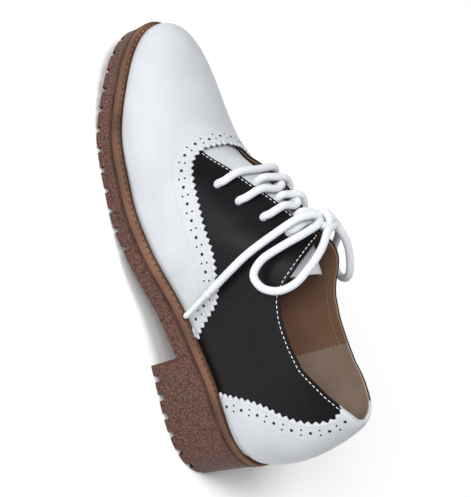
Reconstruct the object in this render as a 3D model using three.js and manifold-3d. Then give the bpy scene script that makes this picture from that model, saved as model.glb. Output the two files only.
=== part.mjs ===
// A lace-up saddle shoe, left foot, in a woman's size: white vamp and heel counter with pinked edges
// over a black saddle, a leather welt, and a moulded lug sole with a block heel.
// Millimetres. +X points to the toe, +Y to the outer side of the foot, +Z up. The floor is z = 0.

import * as THREE from 'three';
import { mergeVertices } from 'three/addons/utils/BufferGeometryUtils.js';
import Module from 'manifold-3d';

const wasm = await Module();
wasm.setup();

// Driving dimensions of the last, the form that the shoe is built on
const SHOE_LENGTH = 272;
const BALL_WIDTH = 81;
const HEEL_WIDTH = 55;
const HEEL_LIFT = 27.9;
const TOE_SPRING = 11.5;
const TOE_BOX = 30.5;
const INSTEP_RISE = 53.7;
const INNER_RAISE = 4.6;
const SIDE_SWELL = 6;
const INWARD_SWING = 3;

// Driving dimensions of the bottom
const SOLE_THICKNESS = 12.7;
const SOLE_LIP = 3;
const SOLE_STEP = 0.6;
const SOLE_EDGE_ROUNDING = 0.8;
const WELT_THICKNESS = 4;
const WELT_REACH = 5;
const HEEL_REACH = 3.5;
const WELT_INSET = 8;
const WELT_GROOVE = 0.8;
const WELT_BEAD = 1.2;
const INSOLE_THICKNESS = 2;
const HEEL_LENGTH = 70;
const HEEL_UNDERCUT = 1;
const HEEL_TAPER = 1.5;
const GROUND_CUT = 0.5;

// Driving dimensions of the tread
const LUG_PITCH = 12;
const LUG_GROOVE_WIDTH = 3;
const LUG_GROOVE_DEPTH = 3.5;
const LUG_GROOVE_LENGTH = 10;
const HEEL_LUG_PITCH = 10.8;
const HEEL_GROOVE_WIDTH = 4;
const HEEL_GROOVE_DEPTH = 4;
const TREAD_GROOVE_DEPTH = 2;

// Driving dimensions of the upper and its lacing
const UPPER_WALL = 2;
const OVERLAY_WALL = 1.2;
const CLEARANCE = 0.3;
const PINKING_PITCH = 4.2;
const PINKING_DEPTH = 1.9;
const TONGUE_WALL = 1.8;
const TONGUE_WIDTH = 40;
const TONGUE_DROP = 4.5;
const TONGUE_ARCH = 12;
const EYELET_DIAMETER = 5;
const LACE_DIAMETER = 4.4;
const AGLET_LENGTH = 22;
const AGLET_DIAMETER = 3.6;
const KNOT_SIZE = { length: 13, width: 15, height: 7.4 };

// Sizes that follow from the ones above
const SOLE_STACK = SOLE_THICKNESS + WELT_THICKNESS + 2 * CLEARANCE;
const WELT_BOTTOM = WELT_THICKNESS + CLEARANCE;
const SHELF = WELT_BOTTOM + CLEARANCE;
const TOE_END = SHOE_LENGTH / 2 - WELT_REACH;
const HEEL_END = HEEL_REACH - SHOE_LENGTH / 2;
const BALL_STATION = SHOE_LENGTH * 0.18;
const HEEL_STATION = SHOE_LENGTH * -0.3235;
const TOE_ARC = TOE_END - BALL_STATION;
const HEEL_ARC = HEEL_STATION - HEEL_END;
const TOE_ARC_CENTRES = (TOE_ARC ** 2 - (BALL_WIDTH / 2) ** 2) / TOE_ARC;
const HEEL_ARC_CENTRES = (HEEL_ARC ** 2 - (HEEL_WIDTH / 2) ** 2) / HEEL_ARC;
const HEEL_SQUARENESS = 0.05;
const BREAST = HEEL_LENGTH - SHOE_LENGTH / 2;

const LATERAL = 1;
const MEDIAL = -1;

// Half widths of the feather line between the heel and the ball. along: share of the way from the
// heel station to the ball station; lateral, medial: share of the way from the heel's half width
// to the ball's.
const WIDTHS = [
  { along: 0, lateral: 0, medial: 0 },
  { along: 0.35, lateral: 0.215, medial: -0.08 },
  { along: 0.62, lateral: 0.81, medial: 0.27 },
  { along: 1, lateral: 0.925, medial: 1.075 },
];

// Swing of the centre line towards the big toe. station: share of the shoe's length from its
// middle; swing: share of INWARD_SWING.
const SWING = [
  { station: -0.49, swing: 0 },
  { station: -0.32, swing: 0 },
  { station: 0, swing: 0.33 },
  { station: 0.18, swing: 0.67 },
  { station: 0.48, swing: 1 },
];

// Height of the feather line over its height at the ball. heel: share of HEEL_LIFT; toe: share
// of TOE_SPRING.
const BOTTOM = [
  { station: -0.489, heel: 1, toe: 0 },
  { station: -0.338, heel: 0.946, toe: 0 },
  { station: -0.221, heel: 0.728, toe: 0 },
  { station: -0.055, heel: 0.34, toe: 0 },
  { station: 0.11, heel: 0.011, toe: 0 },
  { station: 0.221, heel: 0, toe: 0 },
  { station: 0.368, heel: 0, toe: 0.6 },
  { station: 0.482, heel: 0, toe: 1 },
];

// Height of the ridge over the toe box. rise: share of INSTEP_RISE.
const RIDGE = [
  { station: -0.489, rise: 1.53 },
  { station: -0.386, rise: 1.568 },
  { station: -0.309, rise: 1.661 },
  { station: -0.221, rise: 1.698 },
  { station: -0.147, rise: 1.605 },
  { station: -0.074, rise: 1.326 },
  { station: -0.011, rise: 1.065 },
  { station: 0.044, rise: 0.888 },
  { station: 0.118, rise: 0.599 },
  { station: 0.169, rise: 0.338 },
  { station: 0.221, rise: 0.185 },
  { station: 0.3125, rise: 0.055 },
  { station: 0.412, rise: 0 },
];

// The inner side stands higher along the opening. raise: share of INNER_RAISE.
const INNER_SIDE = [
  { round: 0.25, raise: 0 },
  { round: 0.7, raise: 0.74 },
  { round: 1, raise: 0.96 },
  { round: 1.25, raise: 1 },
  { round: 1.4, raise: 0.7 },
  { round: 1.515, raise: 0.2 },
  { round: 1.6, raise: 0.5 },
  { round: 1.7, raise: 0.86 },
  { round: 1.8, raise: 0.93 },
  { round: 1.9, raise: 0.6 },
  { round: 2, raise: 0 },
];

// Shape of the cross-sections. round: 0 at the back of the heel, 1 at the heel station, 2 at the
// ball station, 3 at the tip of the toe; low: height of the side's handle as a share of the
// section's height; high: reach of the ridge's handle as a share of the half width; swell: share
// of SIDE_SWELL.
const SECTIONS = [
  { round: 0, low: 0.38, high: 0.3, swell: 2.33 },
  { round: 0.3, low: 0.38, high: 0.42, swell: 2 },
  { round: 0.6, low: 0.38, high: 0.54, swell: 1.5 },
  { round: 0.9, low: 0.4, high: 0.62, swell: 1.17 },
  { round: 1.2, low: 0.43, high: 0.66, swell: 1 },
  { round: 1.6, low: 0.5, high: 0.5, swell: 0.83 },
  { round: 2, low: 0.54, high: 0.53, swell: 0.65 },
  { round: 2.4, low: 0.575, high: 0.59, swell: 0.48 },
  { round: 2.8, low: 0.6, high: 0.62, swell: 0.5 },
  { round: 3, low: 0.62, high: 0.62, swell: 0.5 },
];

// Edge of the collar and of the throat: up: share of the section from the feather line to the
// ridge.
const OPENING = [
  { round: 0, up: 0.7 },
  { round: 0.3, up: 0.69 },
  { round: 0.55, up: 0.645 },
  { round: 0.75, up: 0.575 },
  { round: 1, up: 0.47 },
  { round: 1.1, up: 0.44 },
  { round: 1.19, up: 0.43 },
  { round: 1.27, up: 0.445 },
  { round: 1.34, up: 0.5 },
  { round: 1.4, up: 0.6 },
  { round: 1.445, up: 0.705 },
  { round: 1.49, up: 0.84 },
  { round: 1.515, up: 0.94 },
  { round: 1.54, up: 0.955 },
  { round: 1.613, up: 0.915 },
  { round: 1.693, up: 0.862 },
  { round: 1.805, up: 0.777 },
  { round: 1.885, up: 0.733 },
  { round: 1.985, up: 0.684 },
];
const EYESTAY_FRONT = OPENING[OPENING.length - 1];

// Pinked edge of the vamp, from the feather line in the waist to the ridge before the tongue.
const VAMP_EDGE = [
  { up: -0.03, round: 1.19 },
  { up: 0, round: 1.205 },
  { up: 0.044, round: 1.239 },
  { up: 0.107, round: 1.281 },
  { up: 0.18, round: 1.335 },
  { up: 0.242, round: 1.434 },
  { up: 0.29, round: 1.507 },
  { up: 0.331, round: 1.591 },
  { up: 0.355, round: 1.663 },
  { up: 0.382, round: 1.728 },
  { up: 0.428, round: 1.824 },
  { up: 0.473, round: 1.888 },
  { up: 0.554, round: 1.943 },
  { up: 0.645, round: 1.974 },
  { up: 0.72, round: 1.99 },
  { up: 0.796, round: 1.997 },
  { up: 1, round: 2.007 },
];

// Pinked edge of the heel counter, from the feather line to the collar.
const COUNTER_EDGE = [
  { up: -0.03, round: 0.99 },
  { up: 0, round: 0.969 },
  { up: 0.171, round: 0.861 },
  { up: 0.26, round: 0.785 },
  { up: 0.344, round: 0.675 },
  { up: 0.413, round: 0.586 },
  { up: 0.492, round: 0.512 },
  { up: 0.572, round: 0.474 },
  { up: 0.632, round: 0.518 },
  { up: 0.661, round: 0.55 },
  { up: 0.75, round: 0.6 },
];

// Eyelets of the outer side, front to top. The inner side's are EYELET_ADVANCE further forward.
const EYELET_ADVANCE = 0.03;
const EYELETS = [
  { round: 1.821, up: 0.564 },
  { round: 1.729, up: 0.61 },
  { round: 1.639, up: 0.683 },
  { round: 1.55, up: 0.745 },
];

// Sections of the tongue. lateral, medial: half widths as shares of half TONGUE_WIDTH; drop: depth
// below the ridge as a share of TONGUE_DROP; arch: share of TONGUE_ARCH.
const TONGUE = [
  { station: 0.228, lateral: 0.9, medial: 0.9, drop: 0.62, arch: 0.33 },
  { station: 0.169, lateral: 1, medial: 1, drop: 0.62, arch: 0.58 },
  { station: 0.118, lateral: 1, medial: 0.97, drop: 0.72, arch: 0.83 },
  { station: 0.044, lateral: 1, medial: 0.82, drop: 0.85, arch: 1 },
  { station: -0.011, lateral: 1, medial: 0.74, drop: 1.15, arch: 1.1 },
  { station: -0.074, lateral: 0.96, medial: 0.64, drop: 2.5, arch: 0.95 },
  { station: -0.118, lateral: 0.92, medial: 0.58, drop: 4.7, arch: 0.55 },
  { station: -0.138, lateral: 0.94, medial: 0.56, drop: 5.4, arch: 0.5 },
];

// Routes of the bow's cords, outwards from the knot, chosen by hand.
const KNOT_CENTRE = [-8, -1, 119.6];
const ROUTES = {
  lace_loop_lateral: [
    [-9, 2, 118.8], [-12.5, 8.5, 118], [-16, 16, 114.5], [-20.5, 25, 105], [-26, 32.5, 95],
    [-33, 35, 90], [-40.5, 34, 93], [-44.5, 31, 101], [-43, 27.5, 110.5], [-36, 22, 118.5],
    [-26.5, 13.5, 123.5], [-17.5, 5.5, 124.5], [-10.5, 0, 121],
  ],
  lace_loop_medial: [
    [-8, -4, 119.6], [-8.5, -11.5, 120], [-12, -18.5, 118.8], [-19, -26, 116], [-26, -32.8, 111],
    [-32.5, -37.2, 104], [-36.5, -37.2, 97], [-34.5, -33.4, 94], [-28, -28.4, 98.2],
    [-21.5, -21.8, 105.5], [-16.4, -14, 113.4], [-11.5, -5, 118.8],
  ],
  lace_end_lateral: [
    [-7, 2, 118], [-5, 8.5, 117.2], [-6.5, 15, 113.5], [-12.5, 25, 102.5], [-20.5, 33.5, 87],
    [-27.5, 37, 75], [-33, 38, 64.5], [-36, 38.3, 58.3],
  ],
  lace_end_medial: [
    [-6, -4, 118], [-3.5, -10, 116], [-5.5, -16.5, 111.5], [-10, -24.5, 101], [-14, -32, 88],
    [-17, -36, 77], [-19.5, -38, 67], [-21, -38.3, 60],
  ],
};

const LEATHER = { roughness: 0.45, metalness: 0 };
const FINISHES = {
  white_leather: { color: 0xe6e8ec, ...LEATHER },
  black_leather: { color: 0x26262a, ...LEATHER },
  tan_leather: { color: 0xb08e76, roughness: 0.6, metalness: 0 },
  welt_leather: { color: 0x90624a, roughness: 0.5, metalness: 0 },
  brown_rubber: { color: 0x5e3f36, roughness: 0.6, metalness: 0 },
  white_cord: { color: 0xf1f3f6, roughness: 0.9, metalness: 0 },
  clear_plastic: { color: 0xe9ecef, roughness: 0.25, metalness: 0 },
};

// A smooth curve through a table's rows that never overshoots between them (monotone cubic).
function curveThrough(rows, from, to) {
  const xs = rows.map((row) => row[from]);
  const ys = rows.map((row) => row[to]);
  const last = xs.length - 1;
  const steps = xs.slice(1).map((x, i) => x - xs[i]);
  const slopes = steps.map((step, i) => (ys[i + 1] - ys[i]) / step);
  const tangents = ys.map((_, i) => {
    if (i === 0) return slopes[0];
    if (i === last) return slopes[last - 1];
    if (slopes[i - 1] * slopes[i] <= 0) return 0;
    const before = 2 * steps[i] + steps[i - 1];
    const after = steps[i] + 2 * steps[i - 1];
    return (before + after) / (before / slopes[i - 1] + after / slopes[i]);
  });
  return (value) => {
    const x = Math.min(Math.max(value, xs[0]), xs[last]);
    let i = 0;
    while (i < last - 1 && x > xs[i + 1]) i += 1;
    const s = (x - xs[i]) / steps[i];
    const start = ys[i] * (2 * s ** 3 - 3 * s ** 2 + 1) + steps[i] * tangents[i] * (s ** 3 - 2 * s ** 2 + s);
    const end = ys[i + 1] * (3 * s ** 2 - 2 * s ** 3) + steps[i] * tangents[i + 1] * (s ** 3 - s ** 2);
    return start + end;
  };
}

const toStations = (rows) => rows.map((row) => ({ ...row, station: row.station * SHOE_LENGTH }));
const widthCurve = {
  [LATERAL]: curveThrough(WIDTHS, 'along', 'lateral'),
  [MEDIAL]: curveThrough(WIDTHS, 'along', 'medial'),
};
const swingCurve = curveThrough(toStations(SWING), 'station', 'swing');
const heelLiftCurve = curveThrough(toStations(BOTTOM), 'station', 'heel');
const toeSpringCurve = curveThrough(toStations(BOTTOM), 'station', 'toe');
const riseCurve = curveThrough(toStations(RIDGE), 'station', 'rise');
const lowCurve = curveThrough(SECTIONS, 'round', 'low');
const highCurve = curveThrough(SECTIONS, 'round', 'high');
const swellCurve = curveThrough(SECTIONS, 'round', 'swell');
const openingCurve = curveThrough(OPENING, 'round', 'up');
const innerRaiseCurve = curveThrough(INNER_SIDE, 'round', 'raise');
const vampEdge = curveThrough(VAMP_EDGE, 'up', 'round');
const counterEdge = curveThrough(COUNTER_EDGE, 'up', 'round');

const tongueStations = toStations(TONGUE).reverse();
const tongueLateral = curveThrough(tongueStations, 'station', 'lateral');
const tongueMedial = curveThrough(tongueStations, 'station', 'medial');
const tongueDrop = curveThrough(tongueStations, 'station', 'drop');
const tongueArch = curveThrough(tongueStations, 'station', 'arch');

const centreLine = (x) => -INWARD_SWING * swingCurve(x);
const featherHeight = (x) => SOLE_STACK - GROUND_CUT + HEEL_LIFT * heelLiftCurve(x) + TOE_SPRING * toeSpringCurve(x);
const ridgeHeight = (x) => SOLE_STACK - GROUND_CUT + TOE_BOX + INSTEP_RISE * riseCurve(x);
const tongueHeight = (x) => ridgeHeight(x) - TONGUE_DROP * tongueDrop(x);
const clamp = (value, low, high) => Math.min(Math.max(value, low), high);
const roundAtStation = (x) => 1 + (x - HEEL_STATION) / (BALL_STATION - HEEL_STATION);

// The feather line at a place round the shoe, with the point of the ridge that its section
// leads to. Heel and toe are half ellipses, and their sections fan out.
function featherPoint(round, side) {
  const heelTurn = (1 - clamp(round, 0, 1)) * Math.PI / 2;
  const toeTurn = (clamp(round, 2, 3) - 2) * Math.PI / 2;
  const along = clamp(round, 1, 2) - 1;
  const station = HEEL_STATION + (BALL_STATION - HEEL_STATION) * along;
  const square = 1 + HEEL_SQUARENESS * Math.sin(2 * heelTurn) ** 2;
  const x = station - HEEL_ARC * Math.sin(heelTurn) * square + TOE_ARC * Math.sin(toeTurn);
  const ridgeX = station - HEEL_ARC_CENTRES * Math.sin(heelTurn) + TOE_ARC_CENTRES * Math.sin(toeTurn);
  const straight = HEEL_WIDTH / 2 + (BALL_WIDTH - HEEL_WIDTH) / 2 * widthCurve[side](along);
  const width = straight * Math.cos(heelTurn) * square * Math.cos(toeTurn);
  return { x, y: centreLine(x) + side * width, ridgeX, ridgeY: centreLine(ridgeX) };
}

// The outside of the last: up runs from 0 on the feather line to 1 on the ridge.
function lastPoint(round, side, up) {
  const { x, y, ridgeX, ridgeY } = featherPoint(round, side);
  const reach = Math.hypot(x - ridgeX, y - ridgeY);
  const foot = featherHeight(x);
  const top = ridgeHeight(ridgeX);
  const slope = (ridgeHeight(ridgeX + 1) - ridgeHeight(ridgeX - 1)) / 2;
  const high = highCurve(round);
  const down = 1 - up;
  const weights = [down ** 3, 3 * up * down ** 2, 3 * up ** 2 * down, up ** 3];
  const outs = [1, 1 + SIDE_SWELL * swellCurve(round) / reach, high, 0];
  const heights = [foot, foot + lowCurve(round) * (top - foot), top + slope * (x - ridgeX) * high, top];
  const out = weights.reduce((sum, weight, i) => sum + weight * outs[i], 0);
  const raise = side === MEDIAL ? INNER_RAISE * innerRaiseCurve(round) : 0;
  const nearOpening = clamp((up / openingCurve(round) - 0.5) / 0.5, 0, 1);
  const raised = raise * nearOpening ** 2 * (3 - 2 * nearOpening);
  const z = weights.reduce((sum, weight, i) => sum + weight * heights[i], raised);
  return new THREE.Vector3(ridgeX + (x - ridgeX) * out, ridgeY + (y - ridgeY) * out, z);
}

function sideNormal(round, side, up) {
  const step = 1e-3;
  const alongRound = lastPoint(clamp(round + step, 0, 3), side, up).sub(lastPoint(clamp(round - step, 0, 3), side, up));
  const alongUp = lastPoint(round, side, up + step).sub(lastPoint(round, side, up - step));
  return alongUp.cross(alongRound).multiplyScalar(side).normalize();
}

function lastNormal(round, side, up) {
  if (up >= 1) {
    const { ridgeX } = featherPoint(round, side);
    return new THREE.Vector3((ridgeHeight(ridgeX - 1) - ridgeHeight(ridgeX + 1)) / 2, 0, 1).normalize();
  }
  if (round <= 0 || round >= 3) {
    return sideNormal(round, LATERAL, up).add(sideNormal(round, MEDIAL, up)).normalize();
  }
  return sideNormal(round, side, up);
}

// The feather line pushed outwards in plan.
function outlinePoint(round, side, reach) {
  const step = 1e-3;
  const before = featherPoint(clamp(round - step, 0, 3), side);
  const after = featherPoint(clamp(round + step, 0, 3), side);
  const here = featherPoint(round, side);
  const tangent = new THREE.Vector2(after.x - before.x, after.y - before.y).normalize();
  let normal = new THREE.Vector2(-tangent.y, tangent.x).multiplyScalar(side);
  if (round <= 0) normal = new THREE.Vector2(-1, 0);
  if (round >= 3) normal = new THREE.Vector2(1, 0);
  return new THREE.Vector2(here.x, here.y).addScaledVector(normal, reach);
}

const atFeather = (plan, below) => new THREE.Vector3(plan.x, plan.y, featherHeight(plan.x) - below);

// A place on the last pushed out along its normal, and level along the feather line.
function offsetPoint(round, side, up, offset) {
  if (up === 0) return atFeather(outlinePoint(round, side, offset), 0);
  return lastPoint(round, side, up).addScaledVector(lastNormal(round, side, up), offset);
}

// How far the welt and the sole stand out, from the heel to the forefoot.
function weltReach(round) {
  const share = THREE.MathUtils.smoothstep(round, 0.5, 1.5);
  return HEEL_REACH + (WELT_REACH - HEEL_REACH) * share;
}

const spread = (from, to, count) => Array.from({ length: count + 1 }, (_, i) => from + (to - from) * i / count);

// A closed body from points and faces, turned so that its faces point out.
function bodyGeometry(points, faces) {
  const volume = faces.reduce((sum, [a, b, c]) => {
    const cross = new THREE.Vector3().crossVectors(points[b], points[c]);
    return sum + points[a].dot(cross);
  }, 0);
  const outward = volume > 0 ? faces : faces.map(([a, b, c]) => [a, c, b]);
  const geometry = new THREE.BufferGeometry();
  geometry.setAttribute('position', new THREE.Float32BufferAttribute(points.flatMap((p) => p.toArray()), 3));
  geometry.setIndex(outward.flat());
  return geometry;
}

function toManifold(geometry) {
  const bare = geometry.clone();
  bare.deleteAttribute('normal');
  bare.deleteAttribute('uv');
  const merged = mergeVertices(bare, 1e-4);
  return new wasm.Manifold(new wasm.Mesh({
    numProp: 3,
    vertProperties: Float32Array.from(merged.attributes.position.array),
    triVerts: Uint32Array.from(merged.index.array),
  }));
}

function fromManifold(solid) {
  const mesh = solid.getMesh();
  const geometry = new THREE.BufferGeometry();
  geometry.setAttribute('position', new THREE.BufferAttribute(mesh.vertProperties, 3));
  geometry.setIndex(new THREE.BufferAttribute(mesh.triVerts, 1));
  return geometry;
}

const joinAll = (geometries) => geometries.map(toManifold).reduce((whole, piece) => whole.add(piece));
const cutAll = (solid, geometries) => solid.subtract(joinAll(geometries));

// A body that follows the last between two distances from it. Each patch is a grid of places,
// and patches that share an edge are sewn together there.
function skinGeometry(patches, inner, outer) {
  const places = [];
  const seen = new Map();
  const faces = [];
  const placeOf = (round, side, up) => {
    const key = lastPoint(round, side, up).toArray().map((value) => value.toFixed(2)).join(' ');
    if (!seen.has(key)) {
      seen.set(key, places.length);
      places.push({ round, side, up });
    }
    return seen.get(key);
  };
  for (const { side, columns } of patches) {
    const ids = columns.map((column) => column.map(({ round, up }) => placeOf(round, side, up)));
    for (let i = 0; i + 1 < ids.length; i += 1) {
      for (let j = 0; j + 1 < ids[i].length; j += 1) {
        const corners = [ids[i][j], ids[i + 1][j], ids[i + 1][j + 1], ids[i][j + 1]];
        if (side === MEDIAL) corners.reverse();
        faces.push([corners[0], corners[1], corners[2]], [corners[0], corners[2], corners[3]]);
      }
    }
  }
  const sheet = faces.filter(([a, b, c]) => a !== b && b !== c && c !== a);
  const edges = new Set(sheet.flatMap(([a, b, c]) => [`${a} ${b}`, `${b} ${c}`, `${c} ${a}`]));
  const count = places.length;
  const closed = sheet.flatMap(([a, b, c]) => [[a, b, c], [a + count, c + count, b + count]]);
  for (const edge of edges) {
    const [a, b] = edge.split(' ').map(Number);
    if (!edges.has(`${b} ${a}`)) closed.push([b, a, a + count], [b, a + count, b + count]);
  }
  const layer = (offset) => places.map(({ round, side, up }) => offsetPoint(round, side, up, offset));
  return bodyGeometry([...layer(outer), ...layer(inner)], closed);
}

// A stack of rings, each running lateral from heel to toe and back along the medial side. An open
// stack is closed by a ladder of faces across its first and last ring.
function ringGeometry(rings, linkEnds) {
  const count = ROUNDS.length;
  const size = 2 * count - 2;
  const points = rings.flatMap((ring) => [
    ...ROUNDS.map((round) => ring(round, LATERAL)),
    ...ROUNDS.slice(1, -1).reverse().map((round) => ring(round, MEDIAL)),
  ]);
  const faces = [];
  const bands = linkEnds ? rings.length : rings.length - 1;
  for (let r = 0; r < bands; r += 1) {
    const above = r * size;
    const below = (r + 1) % rings.length * size;
    for (let i = 0; i < size; i += 1) {
      const next = (i + 1) % size;
      faces.push([above + i, above + next, below + next], [above + i, below + next, below + i]);
    }
  }
  const across = (i) => (size - i) % size;
  const ladder = (start, flip) => {
    for (let i = 0; i + 1 < count; i += 1) {
      const [a, b, c, d] = [i, i + 1, across(i + 1), across(i)].map((index) => start + index);
      const rungs = [[a, c, b], [a, d, c]].filter((face) => new Set(face).size === 3);
      faces.push(...rungs.map((face) => (flip ? face.reverse() : face)));
    }
  };
  if (!linkEnds) {
    ladder(0, false);
    ladder((rings.length - 1) * size, true);
  }
  return bodyGeometry(points, faces);
}

// A ring at a reach beyond the feather line and a depth below it.
const ringAt = (reach, below) => (round, side) => atFeather(outlinePoint(round, side, reach(round)), below);

const BREAST_ROUND = roundAtStation(BREAST);
const BREAST_STEP = 0.004;

// Places round the shoe where every piece has a section, so that facets that face each other
// stay parallel. Two lie close together at the heel's breast.
const ROUNDS = [
  ...spread(0, 1, 7),
  ...OPENING.map((row) => row.round).filter((round) => round > 1),
  ...spread(EYESTAY_FRONT.round + 0.03, 3, 9),
].filter((round) => Math.abs(round - BREAST_ROUND) > 4 * BREAST_STEP)
  .concat([BREAST_ROUND, BREAST_ROUND + BREAST_STEP])
  .sort((a, b) => a - b);

// Ground contact: the sole's underside keeps its thickness, is cut flat on the floor under the
// ball, and drops to the floor along the heel block.
function solePoint(round, side, reach, lift) {
  const plan = outlinePoint(round, side, reach);
  if (round > BREAST_ROUND) {
    return new THREE.Vector3(plan.x, plan.y, Math.max(0, featherHeight(plan.x) - SOLE_STACK) + lift);
  }
  const back = (BREAST - plan.x) / HEEL_LENGTH;
  const tapered = outlinePoint(round, side, reach - HEEL_TAPER);
  return new THREE.Vector3(tapered.x + HEEL_UNDERCUT * clamp(back, 0, 1), tapered.y, lift);
}

function groovesAlong(edge, pitch, size, stations) {
  const lengths = edge.slice(1).map((point, i) => point.distanceTo(edge[i]));
  const total = lengths.reduce((sum, length) => sum + length, 0);
  const count = Math.floor(total / pitch);
  const margin = (total - (count - 1) * pitch) / 2;
  return Array.from({ length: count }, (_, k) => {
    let rest = margin + k * pitch;
    let i = 0;
    while (i < lengths.length - 1 && rest > lengths[i]) {
      rest -= lengths[i];
      i += 1;
    }
    const spot = edge[i].clone().lerp(edge[i + 1], rest / lengths[i]);
    const tangent = edge[i + 1].clone().sub(edge[i]).setZ(0).normalize();
    const height = size.depth * 2;
    const box = new THREE.BoxGeometry(size.width, size.length * 2, height);
    box.rotateZ(Math.atan2(tangent.y, tangent.x));
    box.translate(spot.x, spot.y, spot.z + size.depth - height / 2);
    return box;
  }).concat(stations);
}

function treadBars() {
  const bar = (x, share) => {
    const box = new THREE.BoxGeometry(LUG_GROOVE_WIDTH, BALL_WIDTH * share, TREAD_GROOVE_DEPTH * 2);
    const floor = x < BREAST ? 0 : Math.max(0, featherHeight(x) - SOLE_STACK);
    box.translate(x, centreLine(x), floor);
    return box;
  };
  const fore = [0.26, 0.31, 0.36].map((share) => bar(SHOE_LENGTH * share, 0.4));
  const behind = [0.04, 0.09].map((share) => bar(SHOE_LENGTH * share, 0.4));
  return [...fore, ...behind];
}

function outsole() {
  const edge = (round) => weltReach(round) - CLEARANCE;
  const inset = () => -WELT_INSET - CLEARANCE;
  const lipDepth = SHELF + SOLE_LIP;
  const rings = [
    ringAt(inset, CLEARANCE),
    ringAt(inset, SHELF),
    ringAt(edge, SHELF),
    ringAt(edge, lipDepth),
    ringAt((round) => edge(round) - SOLE_STEP, lipDepth + SOLE_STEP),
    (round, side) => solePoint(round, side, edge(round) - SOLE_STEP, SOLE_EDGE_ROUNDING),
    (round, side) => solePoint(round, side, edge(round) - SOLE_STEP - SOLE_EDGE_ROUNDING, 0),
  ];
  const body = toManifold(ringGeometry(rings, false));
  const underside = (from, to) => [
    ...spread(from, to, 24).map((round) => rings[6](round, LATERAL)),
    ...spread(to, from, 24).map((round) => rings[6](round, MEDIAL)),
  ];
  const foreEdge = underside(roundAtStation(-LUG_GROOVE_WIDTH), 3);
  const heelEdge = underside(BREAST_ROUND, 0);
  const fore = { width: LUG_GROOVE_WIDTH, depth: LUG_GROOVE_DEPTH, length: LUG_GROOVE_LENGTH };
  const heel = { width: HEEL_GROOVE_WIDTH, depth: HEEL_GROOVE_DEPTH, length: LUG_GROOVE_LENGTH };
  return fromManifold(cutAll(body, [
    ...groovesAlong(foreEdge, LUG_PITCH, fore, []),
    ...groovesAlong(heelEdge, HEEL_LUG_PITCH, heel, []),
    ...treadBars(),
  ]));
}

function welt() {
  const seat = OVERLAY_WALL + 2 * CLEARANCE;
  const bead = (round) => weltReach(round) - WELT_BEAD;
  const groove = (round) => (seat + bead(round)) / 2;
  return ringGeometry([
    ringAt(() => -WELT_INSET, CLEARANCE),
    ringAt(() => seat, CLEARANCE),
    ringAt(groove, CLEARANCE + WELT_GROOVE),
    ringAt(bead, CLEARANCE),
    ringAt(weltReach, CLEARANCE + WELT_BEAD),
    ringAt(weltReach, WELT_BOTTOM - WELT_BEAD / 2),
    ringAt((round) => weltReach(round) - WELT_BEAD / 2, WELT_BOTTOM),
    ringAt(() => -WELT_INSET, WELT_BOTTOM),
  ], true);
}

function insole() {
  const reach = () => -UPPER_WALL - 2 * CLEARANCE;
  return ringGeometry([ringAt(reach, -INSOLE_THICKNESS), ringAt(reach, 0)], false);
}

const SIDE_ROWS = 7;
const BRIDGE_ROWS = 3;

function upperPatches(from, to) {
  const rounds = ROUNDS.filter((round) => round >= from && round <= to);
  const bridge = rounds.filter((round) => round >= EYESTAY_FRONT.round);
  const sides = [LATERAL, MEDIAL].map((side) => ({
    side,
    columns: rounds.map((round) => spread(0, openingCurve(round), SIDE_ROWS).map((up) => ({ round, up }))),
  }));
  const bridges = [LATERAL, MEDIAL].map((side) => ({
    side,
    columns: bridge.map((round) => spread(EYESTAY_FRONT.up, 1, BRIDGE_ROWS).map((up) => ({ round, up }))),
  }));
  return bridge.length > 1 ? [...sides, ...bridges] : sides;
}

const eyeletRound = (row, side) => EYELETS[row].round + (side === MEDIAL ? EYELET_ADVANCE : 0);

function eyeletPunch(row, side) {
  const { up } = EYELETS[row];
  const round = eyeletRound(row, side);
  const punch = new THREE.CylinderGeometry(EYELET_DIAMETER / 2, EYELET_DIAMETER / 2, 4 * UPPER_WALL, 8);
  const normal = lastNormal(round, side, up);
  punch.applyQuaternion(new THREE.Quaternion().setFromUnitVectors(new THREE.Vector3(0, 1, 0), normal));
  punch.translate(...lastPoint(round, side, up).toArray());
  return punch;
}

function upper() {
  const shell = toManifold(skinGeometry(upperPatches(0, 3), -UPPER_WALL, 0));
  const punches = [LATERAL, MEDIAL].flatMap((side) => EYELETS.map((_, row) => eyeletPunch(row, side)));
  return fromManifold(cutAll(shell, punches));
}

// Pinking: a row of small triangular nicks along an edge. inward is +1 where the piece lies
// ahead of its edge and -1 where it lies behind it.
function pinkingNicks(edgeCurve, side, upRange, inward) {
  const samples = spread(upRange[0], upRange[1], 160).map((up) => {
    const round = edgeCurve(up);
    return { spot: lastPoint(round, side, up), normal: lastNormal(round, side, up) };
  });
  const nicks = [];
  let run = 0;
  let next = PINKING_PITCH / 2;
  for (let i = 1; i < samples.length; i += 1) {
    const step = samples[i].spot.clone().sub(samples[i - 1].spot);
    run += step.length();
    if (run < next) continue;
    next += PINKING_PITCH;
    const { spot, normal } = samples[i];
    const tangent = step.normalize();
    const into = new THREE.Vector3().crossVectors(normal, tangent).multiplyScalar(side * inward);
    const corners = [PINKING_PITCH, -PINKING_PITCH].map((width) =>
      spot.clone().addScaledVector(tangent, width).addScaledVector(into, -PINKING_DEPTH));
    corners.push(spot.clone().addScaledVector(into, PINKING_DEPTH));
    const low = corners.map((corner) => corner.clone().addScaledVector(normal, -OVERLAY_WALL));
    const high = corners.map((corner) => corner.clone().addScaledVector(normal, 3 * OVERLAY_WALL));
    nicks.push(bodyGeometry([...low, ...high], [
      [0, 1, 2], [3, 5, 4], [0, 3, 4], [0, 4, 1], [1, 4, 5], [1, 5, 2], [2, 5, 3], [2, 3, 0],
    ]));
  }
  return nicks;
}

const CUTTER_INNER = -2;
const CUTTER_OUTER = 5;

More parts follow.
